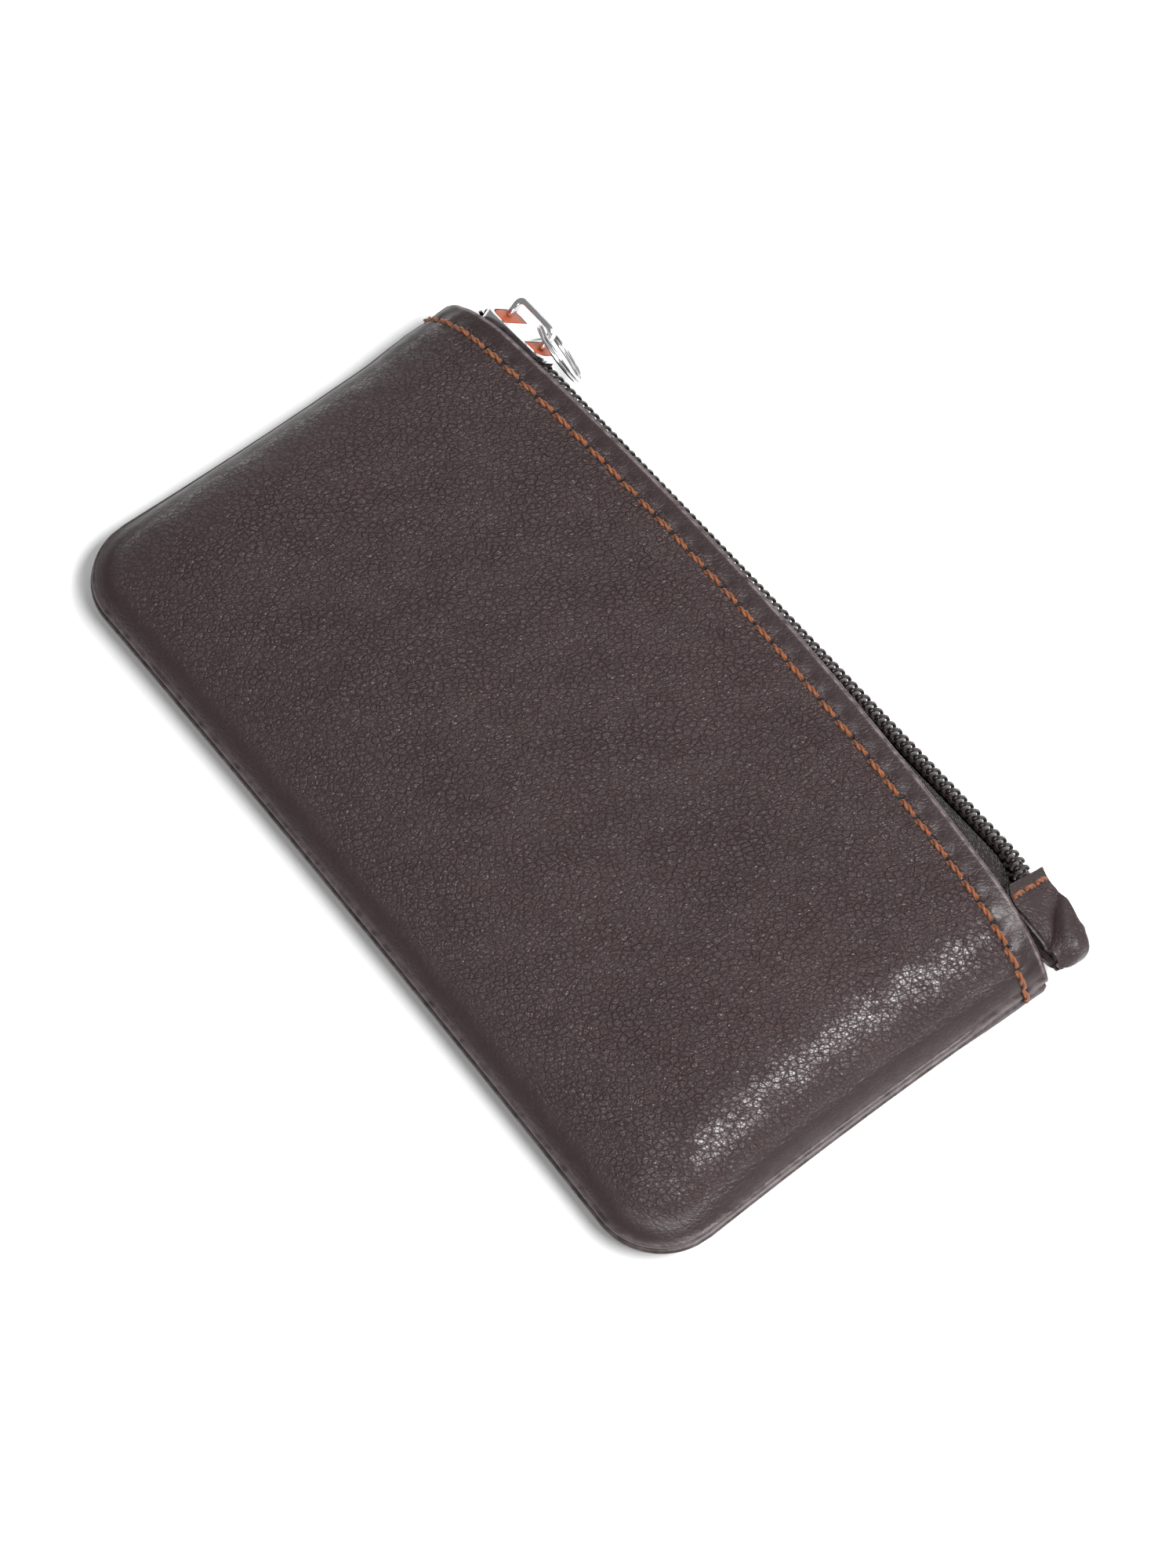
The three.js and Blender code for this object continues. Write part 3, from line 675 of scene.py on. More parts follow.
def thread_look(name, colour):
    """Waxed thread, with fibres along it and a soft fuzz."""
    look = Look(name)
    fibre = look.noise(look.turned(look.place(), scale=(1, 2.2, 2.2)), 0.12 * MM, 3.0)
    shade = look.noise(look.place(), 1.3 * MM, 2.0)
    share = (fibre * 0.7 + shade * 0.3).clamped(0.32, 0.68)
    base = look.blend(share, solid(colour, 0.55), solid(colour, 1.5))
    return look.surface(base_color=base, roughness=0.5, sheen_weight=0.35, sheen_roughness=0.35,
                        normal=look.relief(fibre, 0.05 * MM, 0.7))


def woven_look(name, colour, thread):
    """A coarse, slightly uneven weave whose threads run along and across the zip, with painted shade
    between the threads and painted glints on them.
    """
    look = Look(name)
    turn = math.atan2(ZIP_S.y, ZIP_S.x)
    place = look.shifted(look.turned(look.place(), (0, 0, -turn)), 1.2 * thread, 0.5 * thread)
    along, over, up = look.split(place)
    wave = 2 * math.pi / thread
    warp = (over * wave - up * (1.1 * wave) + along * (0.35 * wave)).sine()
    weft = (along * wave).sine()
    height = (warp * weft + warp.size() * 0.5).clamped(-0.8, 1.3)
    shine = look.noise(place, 0.35 * MM, 3.0).clamped(0.5, 0.62)
    # painted shade: the weave's low places are painted darker and its raised threads lighter
    base = look.blend(height, solid(colour, 0.35), solid(colour, 1.4))
    # painted highlight: bright glints painted on the raised threads where the sheen noise is high
    painted_glints = look.blend(shine * height * 0.55, base, solid(colour, 11))
    return look.surface(base_color=painted_glints, roughness=0.55 - shine * 0.25, specular_ior_level=0.4,
                        normal=look.relief(height, 0.2 * MM, 1.0))


def coil_look(name, colour):
    """Glossy, faintly streaked nylon."""
    look = Look(name)
    streak = look.noise(look.turned(look.place(), scale=(1, 3, 1)), 0.3 * MM, 3.0)
    base = look.blend(streak, solid(colour, 0.6), solid(colour, 1.9))
    return look.surface(base_color=base, roughness=0.26 + streak * 0.12, specular_ior_level=0.4,
                        normal=look.relief(streak, 0.02 * MM, 0.4))


def metal_look(name, colour):
    """Bright plating with fine wear."""
    look = Look(name)
    wear = look.noise(look.turned(look.place(), scale=(0.3, 2, 2)), 0.35 * MM, 4.0)
    base = look.blend(wear.clamped(0.35, 0.7), solid(colour), solid(colour, 0.86))
    return look.surface(base_color=base, metallic=1.0, roughness=0.1 + wear * 0.14,
                        normal=look.relief(wear, 0.01 * MM, 0.3))


def enamel_look(name, colour):
    """Slightly clouded enamel."""
    look = Look(name)
    cloud = look.noise(look.place(), 0.9 * MM, 4.0)
    base = look.blend(cloud.clamped(0.3, 0.7), solid(colour, 0.72), solid(colour, 1.18))
    return look.surface(base_color=base, roughness=0.36 + cloud * 0.1, specular_ior_level=0.35,
                        normal=look.relief(cloud, 0.06 * MM, 0.4))


def cloth_look(name, colour):
    """A fine, matt plain weave."""
    look = Look(name)
    along, over, up = look.split(look.place())
    wave = 2 * math.pi / LINING_YARN
    weave = ((along + up * 0.5) * wave).sine() * ((over + up * 0.5) * wave).sine()
    tone = look.noise(look.place(), 7 * MM, 4.0)
    base = look.blend(tone, solid(colour, 0.7), solid(colour, 1.4))
    return look.surface(base_color=base, roughness=0.75 - tone * 0.1, sheen_weight=0.2,
                        normal=look.relief(weave, 0.06 * MM, 0.6))


def finish_for(slot):
    """The material of a slot of the record, made once."""
    name = "pouch_" + slot
    found = bpy.data.materials.get(name)
    if found:
        return found
    colours, sizes = bpy.context.scene.pouch_colours, bpy.context.scene.pouch_sizes
    makers = {
        "leather": lambda: leather_look(name, colours, sizes),
        "thread": lambda: thread_look(name, colours.thread),
        "zip_tape": lambda: woven_look(name, colours.tape, TAPE_YARN),
        "zip_coil": lambda: coil_look(name, colours.coil),
        "lining": lambda: cloth_look(name, colours.lining),
        "plated_metal": lambda: metal_look(name, colours.metal),
        "inlay": lambda: enamel_look(name, colours.enamel),
    }
    return makers[slot]()


# ---- what a piece moves with --------------------------------------------------------------------
# The back stays with the root; the front has no body, and its pieces only have their transform baked.
BODY_OF = {"front": None, "back": "root"}


def settle(piece, body, nodes=()):
    """Hides the frame nodes that a piece stands for and attaches it to the body it moves with; with None
    its transform is only baked.
    """
    if nodes:
        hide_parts(*nodes)
    if body:
        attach(piece, body)
        return
    shut = ARCH_ENDS[-1 if centre_x(piece) < 0 else 1]
    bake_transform(piece)


def centre_x(piece):
    """Where along the pouch a piece's points lie on average."""
    points = np.zeros(len(piece.data.vertices) * 3)
    piece.data.vertices.foreach_get("co", points)
    return points.reshape(-1, 3)[:, 0].mean()


# ---- leather panels -----------------------------------------------------------------------------
PANEL_COLUMNS = 170
BODY_ROWS = 92
HEM_ROWS = 42
LIP = {1: 0.4 * MM, -1: 0.68 * MM}     # how far the front's and the back's rolled edges stand proud
FOLD = 0.55 * MM                # how far the mouth fold does
# Swellings of the leather: height, distance of the middle from the seam or stitch line, and width.
ROLL = (0.12 * MM, 1.3 * MM, 0.8 * MM)
GROOVE = (0.08 * MM, 2.9 * MM, 0.6 * MM)
GATHERS = (0.1 * MM, 6 * MM, 5 * MM)
VALLEY_WIDTH = 0.75 * MM
HOLE_WIDTH = 0.36 * MM
HEM_PUCKER = (-0.95 * MM, 0.8 * MM)
BODY_PUCKER = (0.9 * MM, 0.7 * MM)
HEM_STEP = (0.18 * MM, 1.2 * MM)        # height and run of the hem's edge showing through
WAVE_HEIGHT = 0.22 * MM
WAVE_SEED = {"front": 11, "back": 23}
BACK_RELIEF = 0.6               # the underside lies flatter than the front


def half_columns(end, count):
    """Stations across one half of the pouch, closer together towards its side seam."""
    share = np.linspace(0, 1, count)
    return np.sort(end * HALF * (0.6 * share + 0.4 * np.sin(np.pi * share / 2)))


def panel_rows(x, mouth):
    """Heights of a panel's rows at each station, close together near the seam and in the hem."""
    low = bottom_edge(x)[:, None]
    start = mouth[:, None] - HEM_WIDTH - MM
    body = np.linspace(0, 1, BODY_ROWS, endpoint=False)[None, :] ** 1.35
    hem = np.linspace(0, 1, HEM_ROWS)[None, :]
    return np.concatenate([low + (start - low) * body, start + (mouth[:, None] - start) * hem], 1)


def swelling(distance, height, middle, width):
    """A raised line, as high as height at its middle."""
    return height * ridge(distance, middle, width)


def panel_relief(side, x, y, mouth, sizes):
    """How far the leather stands out of its plain shape, and its marks."""
    edge = seam_distance(x, y)
    from_mouth = mouth - y
    seed = WAVE_SEED[side]
    slack = smooth(edge / (12 * MM)) * smooth(from_mouth / (10 * MM))
    waves = WAVE_HEIGHT * slack * undulation(x, y, seed, 34 * MM)
    gathers = swelling(edge, *GATHERS) * undulation(x, y, seed + 1, 7 * MM)
    step = HEM_STEP[0] * smooth((HEM_WIDTH - from_mouth) / HEM_STEP[1])
    across = from_mouth - STITCH_INSET
    valley = sizes.pucker * ridge(across, 0, VALLEY_WIDTH)
    nearness = np.cos(2 * np.pi * np.interp(x, *mouth_row(side, sizes.stitch_pitch)))
    holes = (0.5 + 0.5 * nearness) ** 7 * ridge(across, 0, HOLE_WIDTH)
    beside = ridge(across, *HEM_PUCKER) + 0.5 * ridge(across, *BODY_PUCKER)
    puckers = sizes.pucker * (0.7 * nearness * beside + 2.2 * holes)
    height = swelling(edge, *ROLL) - swelling(edge, *GROOVE) + waves + gathers + step - valley - puckers
    hem_face = smooth((STITCH_INSET - 0.4 * MM - from_mouth) / (0.8 * MM))
    # where grain is low the colour is also painted darker, partly as painted shade on the hem band and
    # rolled edges
    grain = (1 - 0.8 * hem_face) * (0.2 + 0.8 * smooth((edge - 1.8 * MM) / (1.8 * MM)))
    # the pale line at the mouth fold and the seam edges: rubbed wear plus a painted highlight
    wear_and_highlight = 0.95 * ridge(from_mouth, 0, 0.15 * MM) + 0.2 * ridge(edge, 0, 0.3 * MM)
    # the pit mark also paints the stitch holes near black, as painted shade
    return height, {"grain": grain, "wear_and_highlight": np.clip(wear_and_highlight, 0, 1), "pit": np.clip(holes * 1.2, 0, 1)}


def leather_half(side, end, sizes):
    """One half of a panel: outside, folded hem, inside and rolled edges in one closed body."""
    facing, mouth_at, skin = SIDES[side]
    x = half_columns(end, PANEL_COLUMNS)
    y = panel_rows(x, mouth_at(x))
    x = np.broadcast_to(x[:, None], y.shape)
    mouth = mouth_at(x)
    height, marks = panel_relief(side, x, y, mouth, sizes)
    plain = skin(x, y)
    folded = LEATHER + (HEM - LEATHER) * smooth((y - mouth + HEM_WIDTH + 0.3 * MM) / (0.3 * MM))
    beside_seam = at_seam(y, mouth) * smooth(1.6 - seam_distance(x, y) / (3 * MM))
    layers = np.maximum(folded, beside_seam)
    outer_z = plain + height if facing > 0 else np.maximum(plain - BACK_RELIEF * height, 0)
    shift = drawn_in(x, y)
    outer = np.stack([shift, y, outer_z], -1)
    inner = np.stack([shift, y, plain - facing * layers], -1)
    rows, cols = y.shape
    on_fold = rim_of(rows, cols) % cols == cols - 1
    bulge = np.where(on_fold, FOLD, LIP[facing])
    points, faces = closed_shell(outer, inner, bulge, steps=8, flip=facing < 0)
    spare = len(points) - 2 * rows * cols
    filled = {}
    # the rims are painted a little lighter: wear plus a painted highlight
    for label, inside, on_rim in (("grain", 0.3, 0.08), ("wear_and_highlight", 0, 0.3), ("pit", 0, 0)):
        rest = [np.full(rows * cols, inside), np.full(spare, on_rim)]
        filled[label] = np.concatenate([marks[label].ravel(), *rest])
    return points, faces, filled


class POUCH_OT_leather(bpy.types.Operator):
    """Builds the front and back leather panels with their hems and rolled edges"""
    bl_idname = "pouch.leather"
    bl_label = "Leather Panels"

    def execute(self, context):
        for side, half, end in HALVES:
            points, faces, marks = leather_half(side, end, context.scene.pouch_sizes)
            piece = make_piece(f"{side}_leather_{half}", points, faces, finish_for("leather"), marks, 50)
            settle(piece, BODY_OF[side], [f"{side}_panel"])
        return {"FINISHED"}


# ---- linings ------------------------------------------------------------------------------------
LINING_GRID = 90
LINING_WRINKLE = 0.25 * MM
LINING_SEED = {"front": 41, "back": 57}
LINING_EASE = 3 * MM            # extra height of cloth, because it follows the bulging panel


def lining_half(side, end):
    """One half of a lining, a thin cloth with a few soft wrinkles: points, faces and flat size."""
    facing, mouth_at, skin = SIDES[side]
    x = np.sort(np.linspace(0, end * (HALF - LINING_INSET), LINING_GRID))[:, None]
    low = bottom_edge(x) + LINING_INSET
    high = mouth_at(x) - HEM_WIDTH - TAPE_MARGIN
    y = low + (high - low) * np.linspace(0, 1, LINING_GRID)[None, :]
    x = np.broadcast_to(x, y.shape)
    slack = smooth(seam_distance(x, y) / (14 * MM)) * smooth((high - y) / (8 * MM))
    wrinkle = LINING_WRINKLE * slack * (1 + undulation(x, y, LINING_SEED[side], 16 * MM))
    outer_z = skin(x, y) - facing * (LINING_DEPTH + wrinkle)
    outer = np.stack([x, y, outer_z], -1)
    inner = np.stack([x, y, outer_z - facing * LINING], -1)
    flat = (HALF - LINING_INSET, float((high - low).mean()) + LINING_EASE)
    return *closed_shell(outer, inner, bulge=0, steps=2, flip=facing < 0), flat


class POUCH_OT_lining(bpy.types.Operator):
    """Builds the two lining cloths, each in a left and a right half"""
    bl_idname = "pouch.lining"
    bl_label = "Linings"

    def execute(self, context):
        for side, half, end in HALVES:
            points, faces, flat = lining_half(side, end)
            piece = make_piece(f"{side}_lining_{half}", points, faces, finish_for("lining"))
            settle(piece, BODY_OF[side], [f"{side}_lining"])
        return {"FINISHED"}


# ---- zip tapes ----------------------------------------------------------------------------------
TAPE_COLUMNS = 130
TAPE_ROWS = 56
TAPE_SMOOTHING = 6


def tape_section(side, x):
    """The tape's mid-line at one station, from under the hem to beside the coil, evenly spaced."""
    facing, mouth_at, skin = SIDES[side]
    mouth = mouth_at(x)

    def under(inset):
        height = skin(x, mouth - inset) - facing * (HEM + TAPE_GAP + TAPE / 2)
        return np.array([x, mouth - inset, height])

    tuck = under(TAPE_TUCK)
    free = on_chain(x, TAPE_N, facing * TAPE_FREE)
    corners = [under(HEM_WIDTH), under(4 * MM), tuck, free, on_chain(x, TAPE_N, facing * TAPE_INNER)]
    if facing < 0:
        turn = np.array([x, free[1] + TAPE_TURN, tuck[2] + TAPE_TURN])
        corners.insert(3, turn)
    corners = np.array(corners)
    line = points_at(np.linspace(0, run_along(corners)[-1], TAPE_ROWS), corners)
    for _ in range(TAPE_SMOOTHING):
        line[1:-1] = (line[:-2] + 2 * line[1:-1] + line[2:]) / 4
    return line


def tape_half(side, end):
    """One half of a tape as a closed strip."""
    stations = np.sort(np.linspace(0, TAPE_ENDS[end > 0], TAPE_COLUMNS))
    lines = np.array([tape_section(side, x) for x in stations])
    ahead = np.gradient(lines, axis=1)
    thick = unit(np.stack([0 * ahead[..., 0], -ahead[..., 2], ahead[..., 1]], -1)) * TAPE / 2
    return closed_shell(lines + thick, lines - thick, bulge=0, steps=2)


class POUCH_OT_tapes(bpy.types.Operator):
    """Builds the woven tapes of the zip, from under the hems to the coils"""
    bl_idname = "pouch.tapes"
    bl_label = "Zip Tapes"

    def execute(self, context):
        for side, half, end in HALVES:
            piece = make_piece(f"{side}_zip_tape_{half}", *tape_half(side, end), finish_for("zip_tape"))
            settle(piece, BODY_OF[side], [f"{side}_zip_tape"])
        return {"FINISHED"}


# ---- coils --------------------------------------------------------------------------------------
COIL_REACH = (-0.4 * MM, 1.85 * MM)     # how far a turn goes across the centre line and away from it
COIL_HEIGHT = (0.2 * MM, 0.95 * MM)
COIL_STEPS = 13
COIL_LEAN = 0.6                 # how unevenly a turn goes forward
COIL_START = 0.4 * MM
HEAD_SWELL = 0.25
HEAD_WIDTH = 0.12               # share of a turn


def coil_turn(facing, pitch, wire):
    """One turn of a flattened coil, whose heads are thickened where they lock."""
    share = np.linspace(0, 1, COIL_STEPS)
    angle = 2 * np.pi * share
    along = pitch * (share + COIL_LEAN * np.sin(angle) / (2 * np.pi))
    across = sum(COIL_REACH) / 2 + (COIL_REACH[1] - COIL_REACH[0]) / 2 * np.cos(angle)
    height = sum(COIL_HEIGHT) / 2 - (COIL_HEIGHT[1] - COIL_HEIGHT[0]) / 2 * np.sin(angle)
    radius = wire / 2 * (1 + HEAD_SWELL * ridge(share, 0.5, HEAD_WIDTH))
    return tube(np.stack([along, across * facing, height], -1), radius, 6)


class POUCH_OT_coils(bpy.types.Operator):
    """Winds the two rows of coil, turn by turn"""
    bl_idname = "pouch.coils"
    bl_label = "Zip Coils"

    def execute(self, context):
        sizes = context.scene.pouch_sizes
        for side, half, end in HALVES:
            facing = SIDES[side][0]
            first = COIL_SPAN[0] + (0.5 * sizes.coil_pitch if facing < 0 else 0) + COIL_START
            spots = np.arange(first, COIL_SPAN[1] - sizes.coil_pitch, sizes.coil_pitch)
            chosen = spots[(spots < 0) == (end < 0)]
            source = coil_turn(facing, sizes.coil_pitch, sizes.coil_wire)
            piece = row_of_copies(
                f"{side}_coil_{half}", source, on_chain(chosen, 0, 0), tuple(ZIP_S),
                zip_axes(chosen)[0], finish_for("zip_coil"))
            settle(piece, BODY_OF[side], [f"{side}_coil"])
        return {"FINISHED"}


# ---- threads ------------------------------------------------------------------------------------
STITCH_SLANT = math.radians(6)
SEAM_STITCH_INSET = 2.4 * MM
WRAP_LIFT = 0.5 * MM            # an edge wrap's height over the seam


def stitch(length, width):
    """One stitch of two-ply thread that dives into the leather at both ends."""
    share = np.linspace(-1, 1, 15)
    strands = []
    for phase in (0, math.pi):
        turn = share * 1.35 * math.pi + phase
        lift = 0.30 * width - 1.25 * width * np.abs(share) ** 5
        reach = 0.24 * width * (1 - 0.3 * share**4)
        path = np.stack([share * length * 0.53, reach * np.cos(turn), lift + reach * np.sin(turn)], -1)
        strands.append(tube(path, 0.30 * width * (1 - 0.35 * share**4), 7))
    return joined(strands)


def skin_frame(side, x, y):
    """Places on a panel's outside with the direction out of it."""
    facing, _, skin = SIDES[side]
    near = 0.2 * MM
    slope_x = (skin(x + near, y) - skin(x - near, y)) / (2 * near)
    slope_y = (skin(x, y + near) - skin(x, y - near)) / (2 * near)
    out = facing * unit(np.stack([-slope_x, -slope_y, np.ones_like(x)], -1))
    return np.stack([drawn_in(x, y), y, skin(x, y)], -1), out


def mouth_stitches(side, sizes):
    """Places, directions and outward directions of the stitches along one mouth."""
    facing, mouth_at, _ = SIDES[side]
    row, stitches = mouth_row(side, sizes.stitch_pitch)
    middles = np.arange(round(stitches[-1])) + 0.5
    x, before, after = (np.interp(middles + reach, stitches, row) for reach in (0, -0.3, 0.3))
    places, out = skin_frame(side, x, mouth_at(x) - STITCH_INSET)
    start, _ = skin_frame(side, before, mouth_at(before) - STITCH_INSET)
    end, _ = skin_frame(side, after, mouth_at(after) - STITCH_INSET)
    along = unit(end - start)
    slant = STITCH_SLANT * facing
    along = along * math.cos(slant) + np.cross(out, along) * math.sin(slant)
    return places - out * sizes.pucker * 0.6, along, out


def seam_stitches(sizes):
    """The lock stitches of the turned seam, inside the two sides and the bottom."""
    inset = SEAM_STITCH_INSET
    side = HALF - inset
    low = BOTTOM_Y + SIDE_PULL + inset
    radius = CORNER_RADIUS - inset
    top = MOUTH_Y - FRONT_BOW - HEM_WIDTH
    bend = np.linspace(0, np.pi / 2, 9)
    right = np.stack([side - radius + radius * np.sin(bend), low + radius - radius * np.cos(bend)], -1)
    left = right[::-1] * (-1, 1)
    corners = np.concatenate([[(-side, top)], left, right, [(side, top)]])
    corners = np.pad(corners, ((0, 0), (0, 1)), constant_values=SEAM_Z)
    distances = np.arange(sizes.stitch_pitch, run_along(corners)[-1], sizes.stitch_pitch)
    places = points_at(distances, corners)
    return places, unit(points_at(distances + 0.3 * MM, corners) - places)


def edge_wraps():
    """The turns of mouth thread that go round the side seams, and their outward directions."""
    ends = np.array([-1, 1])
    y = np.full(2, front_mouth(HALF) - STITCH_INSET)
    x = drawn_in(ends * HALF, y) + ends * LIP[1]
    return np.stack([x, y, np.full(2, SEAM_Z + WRAP_LIFT)], -1), np.stack([ends, 0 * ends, [0.2, 0.2]], -1)


class POUCH_OT_threads(bpy.types.Operator):
    """Sews the two mouths and the hidden seam, stitch by stitch"""
    bl_idname = "pouch.threads"
    bl_label = "Stitching"

    def execute(self, context):
        sizes = context.scene.pouch_sizes
        material = finish_for("thread")
        source = stitch(sizes.stitch_length, sizes.thread_width)
        for side, half, end in HALVES:
            places, along, out = mouth_stitches(side, sizes)
            chosen = (places[:, 0] < -0.1 * MM) == (end < 0)    # the stitch at mid-length is on the right
            piece = row_of_copies(
                f"{side}_mouth_thread_{half}", source, places[chosen], along[chosen], out[chosen],
                material, 0.05, 0.07, 5 + end)
            settle(piece, BODY_OF[side], [f"{side}_mouth_thread"])
        places, along = seam_stitches(sizes)
        piece = row_of_copies("seam_stitches", source, places, along, (0, 0, 1), material, 0.04, 0.04, 9)
        settle(piece, "root", ["seam_thread"])
        places, out = edge_wraps()
        piece = row_of_copies("edge_wraps", source, places, (0, 0.05, -1), out, material, 0.0, 0.05, 3)
        settle(piece, "root")
        return {"FINISHED"}


# ---- end tab ------------------------------------------------------------------------------------
TAB_FLAT = 3 * MM               # how much of the tab lies flat before it bends
TAB_CREASE = 6.4 * MM           # from the tab's free edge
TAB_CREASE_SLANT = 0.9
TAB_GRID = (120, 56)
TAB_STITCHES = np.array([-2.1, 0.0, 2.1]) * MM
TAB_STITCH_LENGTH = 1.9 * MM


def tab_profile(count):
    """The folded strip's mid-line as seen from its side: outer leaf, fold, inner leaf."""
    top = COIL_TOP + TAB_GAP + LEATHER / 2
    bottom = TAPE_N - TAPE / 2 - TAB_GAP - LEATHER / 2
    middle, reach = (top + bottom) / 2, (top - bottom) / 2
    start, end = TAB_SPAN[0], TAB_SPAN[1] - reach - LEATHER / 2
    bend = np.linspace(np.pi / 2, -np.pi / 2, 24)
    corners = np.concatenate([
        [(start, top), (start + TAB_FLAT, top + 0.08 * MM)],
        np.stack([end + reach * np.cos(bend), middle + reach * np.sin(bend)], -1),
        [(start + TAB_FLAT, bottom), (start, bottom)]])
    return points_at(np.linspace(0, run_along(corners)[-1], count), corners)


def tab_shell():
    """The end tab: a strip folded round the zip's end, creased and pinched where it turns."""
    rows, cols = TAB_GRID
    s, n = (values[:, None] for values in tab_profile(rows).T)
    w = np.linspace(-TAB_WIDTH / 2, TAB_WIDTH / 2, cols)[None, :]
    s, n, w = (np.array(part) for part in np.broadcast_arrays(s, n, w))
    reach = smooth((s - TAB_SPAN[0] - TAB_FLAT) / (9 * MM))
    hem_corner = reach * smooth((w - 0.2 * MM) / (3.2 * MM))
    far_corner = reach * smooth((-w - 1.2 * MM) / (2.4 * MM))
    past_crease = s - TAB_SPAN[0] - TAB_CREASE - TAB_CREASE_SLANT * w
    dent = 0.4 * MM * ridge(past_crease, 0, 0.6 * MM) * smooth(reach * 3)
    rise = 0.55 * MM * smooth(past_crease / (2 * MM)) * (1 - hem_corner)
    n = n + smooth(n / MM + 0.5) * (rise - dent - 1.5 * MM * hem_corner)
    n = n + 0.08 * MM * undulation(s, w, 77, 5 * MM)
    s = s - hem_corner**2 * 0.8 * MM - far_corner**2 * 1.6 * MM
    w = w * (1 - 0.2 * reach) + 0.9 * MM * reach * smooth(-w / (3.3 * MM))
    middle = np.stack([s, n, w], -1)
    thick = unit(np.cross(np.gradient(middle, axis=1), np.gradient(middle, axis=0))) * LEATHER / 2
    return [on_chain(*np.moveaxis(leaf, -1, 0)) for leaf in (middle + thick, middle - thick)]


class POUCH_OT_tab(bpy.types.Operator):
    """Folds the leather tab round the end of the zip and sews it"""
    bl_idname = "pouch.tab"
    bl_label = "End Tab"

    def execute(self, context):
        sizes = context.scene.pouch_sizes
        outer, inner = tab_shell()
        points, faces = rounded_strip(outer, inner)
        flat = outer.shape[0] * outer.shape[1]
        spare = len(points) - 2 * flat
        marks = {
            "grain": np.full(len(points), 0.35),
            # the tab's rounded rims are painted lighter: wear plus a painted highlight
            "wear_and_highlight": np.concatenate([np.zeros(2 * flat), np.full(spare, 0.35)]),
            "pit": np.zeros(len(points)),
        }
        piece = make_piece("tab_leather", points, faces, finish_for("leather"), marks, 55)
        settle(piece, "root", ["end_tab"])
        row = TAB_SPAN[0] + TAB_STITCH_INSET
        places = on_chain(row, COIL_TOP + TAB_GAP + LEATHER, TAB_STITCHES)
        outward, across = zip_axes(row)
        source = stitch(TAB_STITCH_LENGTH, sizes.thread_width * 0.9)
        thread = row_of_copies("tab_thread", source, places, across, outward,
                               finish_for("thread"), 0.04, 0.08, 4)
        settle(thread, "root", ["end_tab_thread"])
        return {"FINISHED"}


# ---- slider and ring ----------------------------------------------------------------------------
class POUCH_OT_slider(bpy.types.Operator):
    """Rounds the slider's body and bridge and fills its face"""
    bl_idname = "pouch.slider"
    bl_label = "Slider"

    def execute(self, context):
        for name, node, width, slot in (
                ("slider_casting", "slider_body", 0.45 * MM, "plated_metal"),
                ("slider_loop", "slider_bridge", 0.22 * MM, "plated_metal"),
                ("slider_fill_front", "slider_inlay_front", 0.12 * MM, "inlay"),
                ("slider_fill_tail", "slider_inlay_tail", 0.12 * MM, "inlay")):
            piece = softened_copy(name, node, width, finish_for(slot))
            settle(piece, "slider", [node])
        return {"FINISHED"}


RING_RADIUS = 4.5 * MM
RING_TURNS = 1.9
RING_STEPS = 150
RING_SPREAD = 1.08              # from one turn's middle to the other's, in wires
RING_JOG = 0.16                 # share of the wire's length that crosses over


class POUCH_OT_ring(bpy.types.Operator):
    """Winds the split ring that pulls the slider"""
    bl_idname = "pouch.ring"
    bl_label = "Pull Ring"

    def execute(self, context):
        wire = context.scene.pouch_sizes.ring_wire
        axis = Vector(JOINTS["ring_swing"]["axis"]).normalized()
        middle = centre("pull_ring")
        first = Vector(JOINTS["ring_swing"]["pos_m"]) - middle
        first = (first - axis * first.dot(axis)).normalized()
        second = axis.cross(first)
        turn = np.linspace(0.5 * math.pi, (0.5 + 2 * RING_TURNS) * math.pi, RING_STEPS)
        share = np.linspace(-0.5, 0.5, RING_STEPS)
        across = RING_SPREAD * wire * (smooth(share / RING_JOG + 0.5) - 0.5)
        places = np.stack([RING_RADIUS * np.cos(turn), RING_RADIUS * np.sin(turn), across], -1)
        path = np.array(middle) + places @ np.array([first, second, axis])
        points, faces = tube(path, wire / 2, 10, tuple(axis))
        piece = make_piece("split_ring", points, faces, finish_for("plated_metal"), sharp=50)
        settle(piece, "ring", ["pull_ring"])
        return {"FINISHED"}


# ---- stage --------------------------------------------------------------------------------------
VIEW_AZIMUTH = math.radians(52.1)
VIEW_ELEVATION = math.radians(64.9)
VIEW_DISTANCE = 500 * MM
VIEW_RIGHT = 5.93 * MM
VIEW_UP = 0.3 * MM
SENSOR = 36.0                   # height in millimetres, as the focal length is
FOCAL = 91.49


def add_camera():
    """Looks steeply down on the front panel, from beyond the right end of the bottom seam."""
    right = Vector((math.cos(VIEW_AZIMUTH), math.sin(VIEW_AZIMUTH), 0))
    level = Vector((right.y, -right.x, 0))
    back = level * math.cos(VIEW_ELEVATION) + Vector((0, 0, math.sin(VIEW_ELEVATION)))
    up = back.cross(right)
    data = bpy.data.cameras.new("view")
    data.sensor_fit = "VERTICAL"
    data.sensor_height = SENSOR
    data.lens = FOCAL
    data.clip_start = 10 * MM
    camera = bpy.data.objects.new("view", data)
    turn = Matrix((right, up, back)).transposed().to_4x4()
    place = back * VIEW_DISTANCE + right * VIEW_RIGHT + up * VIEW_UP
    camera.matrix_world = Matrix.Translation(place) @ turn
    bpy.context.scene.collection.objects.link(camera)
    bpy.context.scene.camera = camera


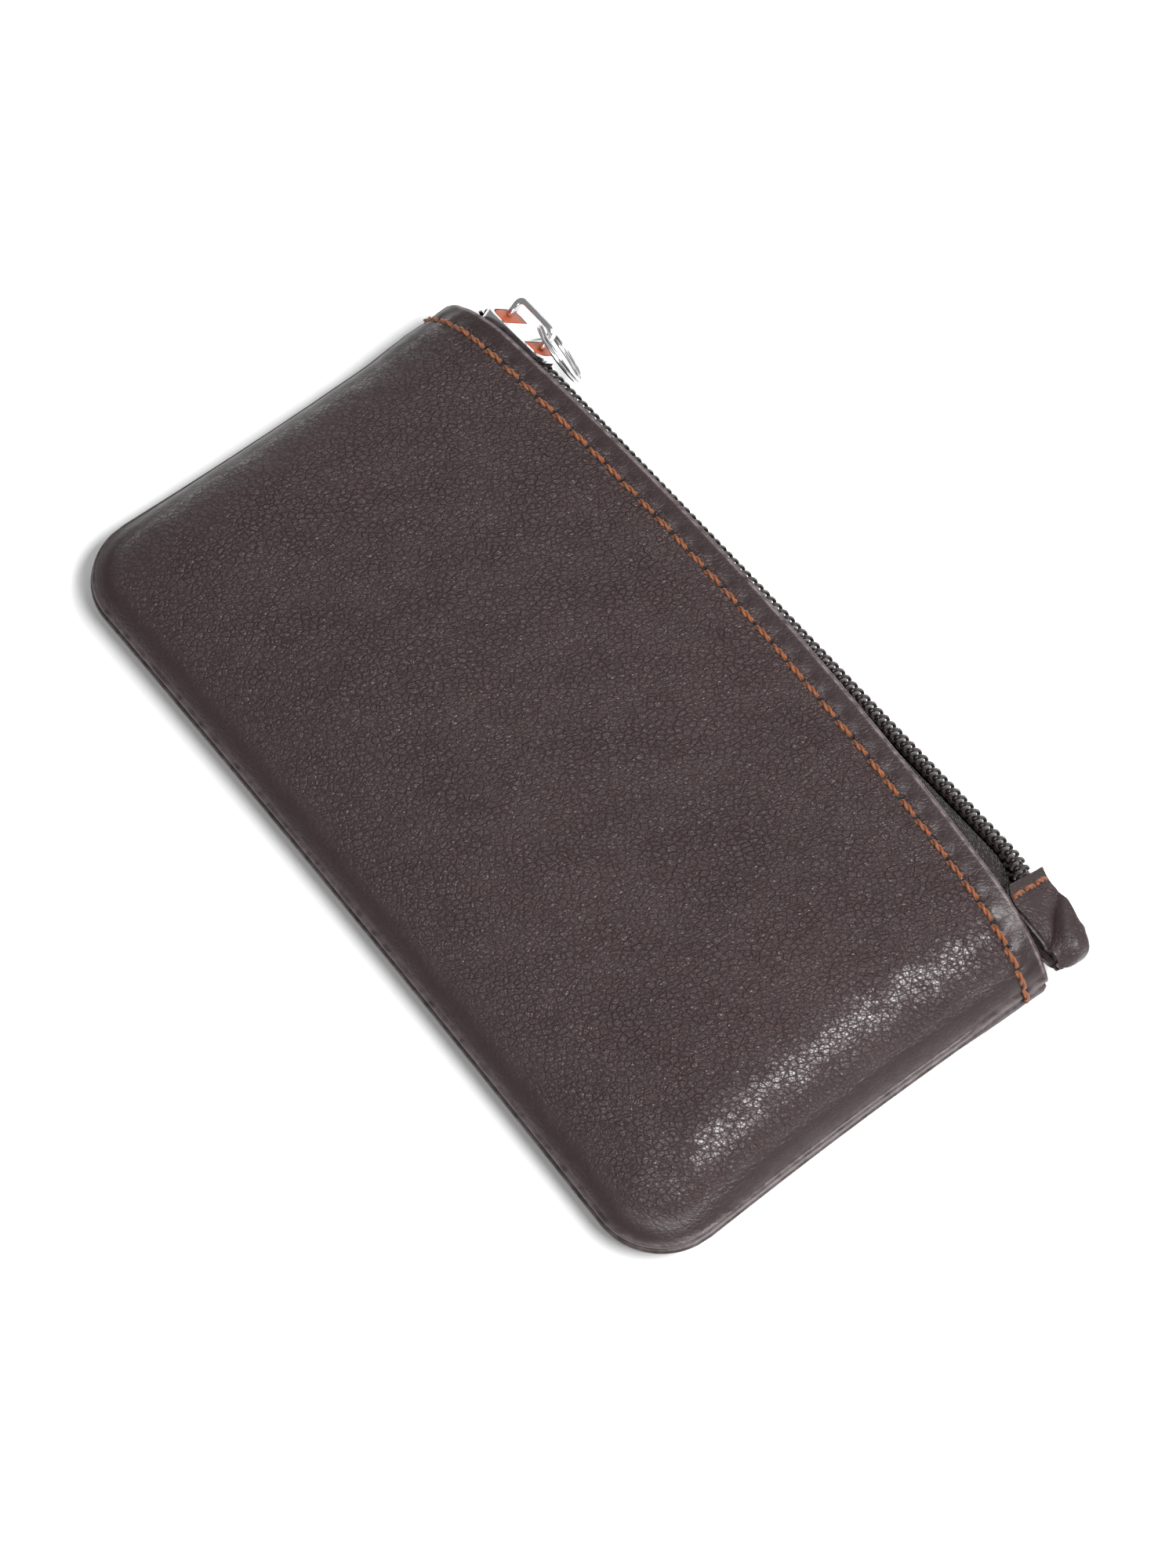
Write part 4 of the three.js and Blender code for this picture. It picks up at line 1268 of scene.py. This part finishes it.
# Each soft light's direction from the pouch, distance, two sides and power in watts.
SOFTBOXES = {
    "key": ((0.47, 0.17, 0.86), 0.62, (0.36, 0.19), 5.4),
    "top": ((0.12, -0.45, 0.95), 1.1, (0.5, 0.5), 2.0),
    "rim": ((-0.5, 0.95, 0.75), 0.9, (0.5, 0.3), 0.8),
}
WORLD_STRENGTH = 0.27
FLOOR_REACH = 3.0
FLOOR_DROP = 0.02 * MM
FLOOR_GREY = 0.93


def add_softbox(name, direction, distance, size, power):
    """A rectangular area light that faces the pouch."""
    data = bpy.data.lights.new(name, "AREA")
    data.shape = "RECTANGLE"
    data.size, data.size_y = size
    data.energy = power
    light = bpy.data.objects.new(name, data)
    away = Vector(direction).normalized()
    turn = away.to_track_quat("Z", "Y").to_matrix().to_4x4()
    light.matrix_world = Matrix.Translation(away * distance) @ turn
    bpy.context.scene.collection.objects.link(light)


class POUCH_OT_stage(bpy.types.Operator):
    """Sets the pale floor, the soft lights and the camera"""
    bl_idname = "pouch.stage"
    bl_label = "Stage"

    def execute(self, context):
        add_camera()
        for name, setting in SOFTBOXES.items():
            add_softbox(name, *setting)
        world = bpy.data.worlds.new("studio")
        world.use_nodes = True
        background = world.node_tree.nodes["Background"].inputs
        background["Color"].default_value = (1, 1, 1, 1)
        background["Strength"].default_value = WORLD_STRENGTH
        context.scene.world = world
        context.scene.view_settings.view_transform = "Standard"
        square = np.array([(-1, -1, 0), (1, -1, 0), (1, 1, 0), (-1, 1, 0)]) * FLOOR_REACH
        finish = Look("floor").surface(base_color=solid([FLOOR_GREY] * 3), roughness=0.9)
        floor = make_piece("floor", square - (0, 0, FLOOR_DROP), [[0, 1, 2, 3]], finish)
        return {"FINISHED"}


# ---- sidebar ------------------------------------------------------------------------------------
OPERATORS = (
    POUCH_OT_stage, POUCH_OT_leather, POUCH_OT_lining, POUCH_OT_tapes, POUCH_OT_coils,
    POUCH_OT_threads, POUCH_OT_tab, POUCH_OT_slider, POUCH_OT_ring,
)


class POUCH_PT_sidebar(bpy.types.Panel):
    """Lists the pouch's sizes, colours and pieces"""
    bl_idname = "POUCH_PT_sidebar"
    bl_label = "Zippered Pouch"
    bl_space_type = "VIEW_3D"
    bl_region_type = "UI"
    bl_category = "Pouch"

    def draw(self, context):
        for group in (context.scene.pouch_sizes, context.scene.pouch_colours):
            box = self.layout.box()
            for name in group.__annotations__:
                box.prop(group, name)
        for operator in OPERATORS:
            self.layout.operator(operator.bl_idname)


CLASSES = (PouchSizes, PouchColours, *OPERATORS, POUCH_PT_sidebar)


def register():
    for item in CLASSES:
        bpy.utils.register_class(item)
    bpy.types.Scene.pouch_sizes = bpy.props.PointerProperty(type=PouchSizes)
    bpy.types.Scene.pouch_colours = bpy.props.PointerProperty(type=PouchColours)


def unregister():
    del bpy.types.Scene.pouch_colours
    del bpy.types.Scene.pouch_sizes
    for item in reversed(CLASSES):
        bpy.utils.unregister_class(item)


def main():
    register()
    for operator in OPERATORS:
        category, name = operator.bl_idname.split(".")
        getattr(getattr(bpy.ops, category), name)()


if __name__ == "__main__":
    main()
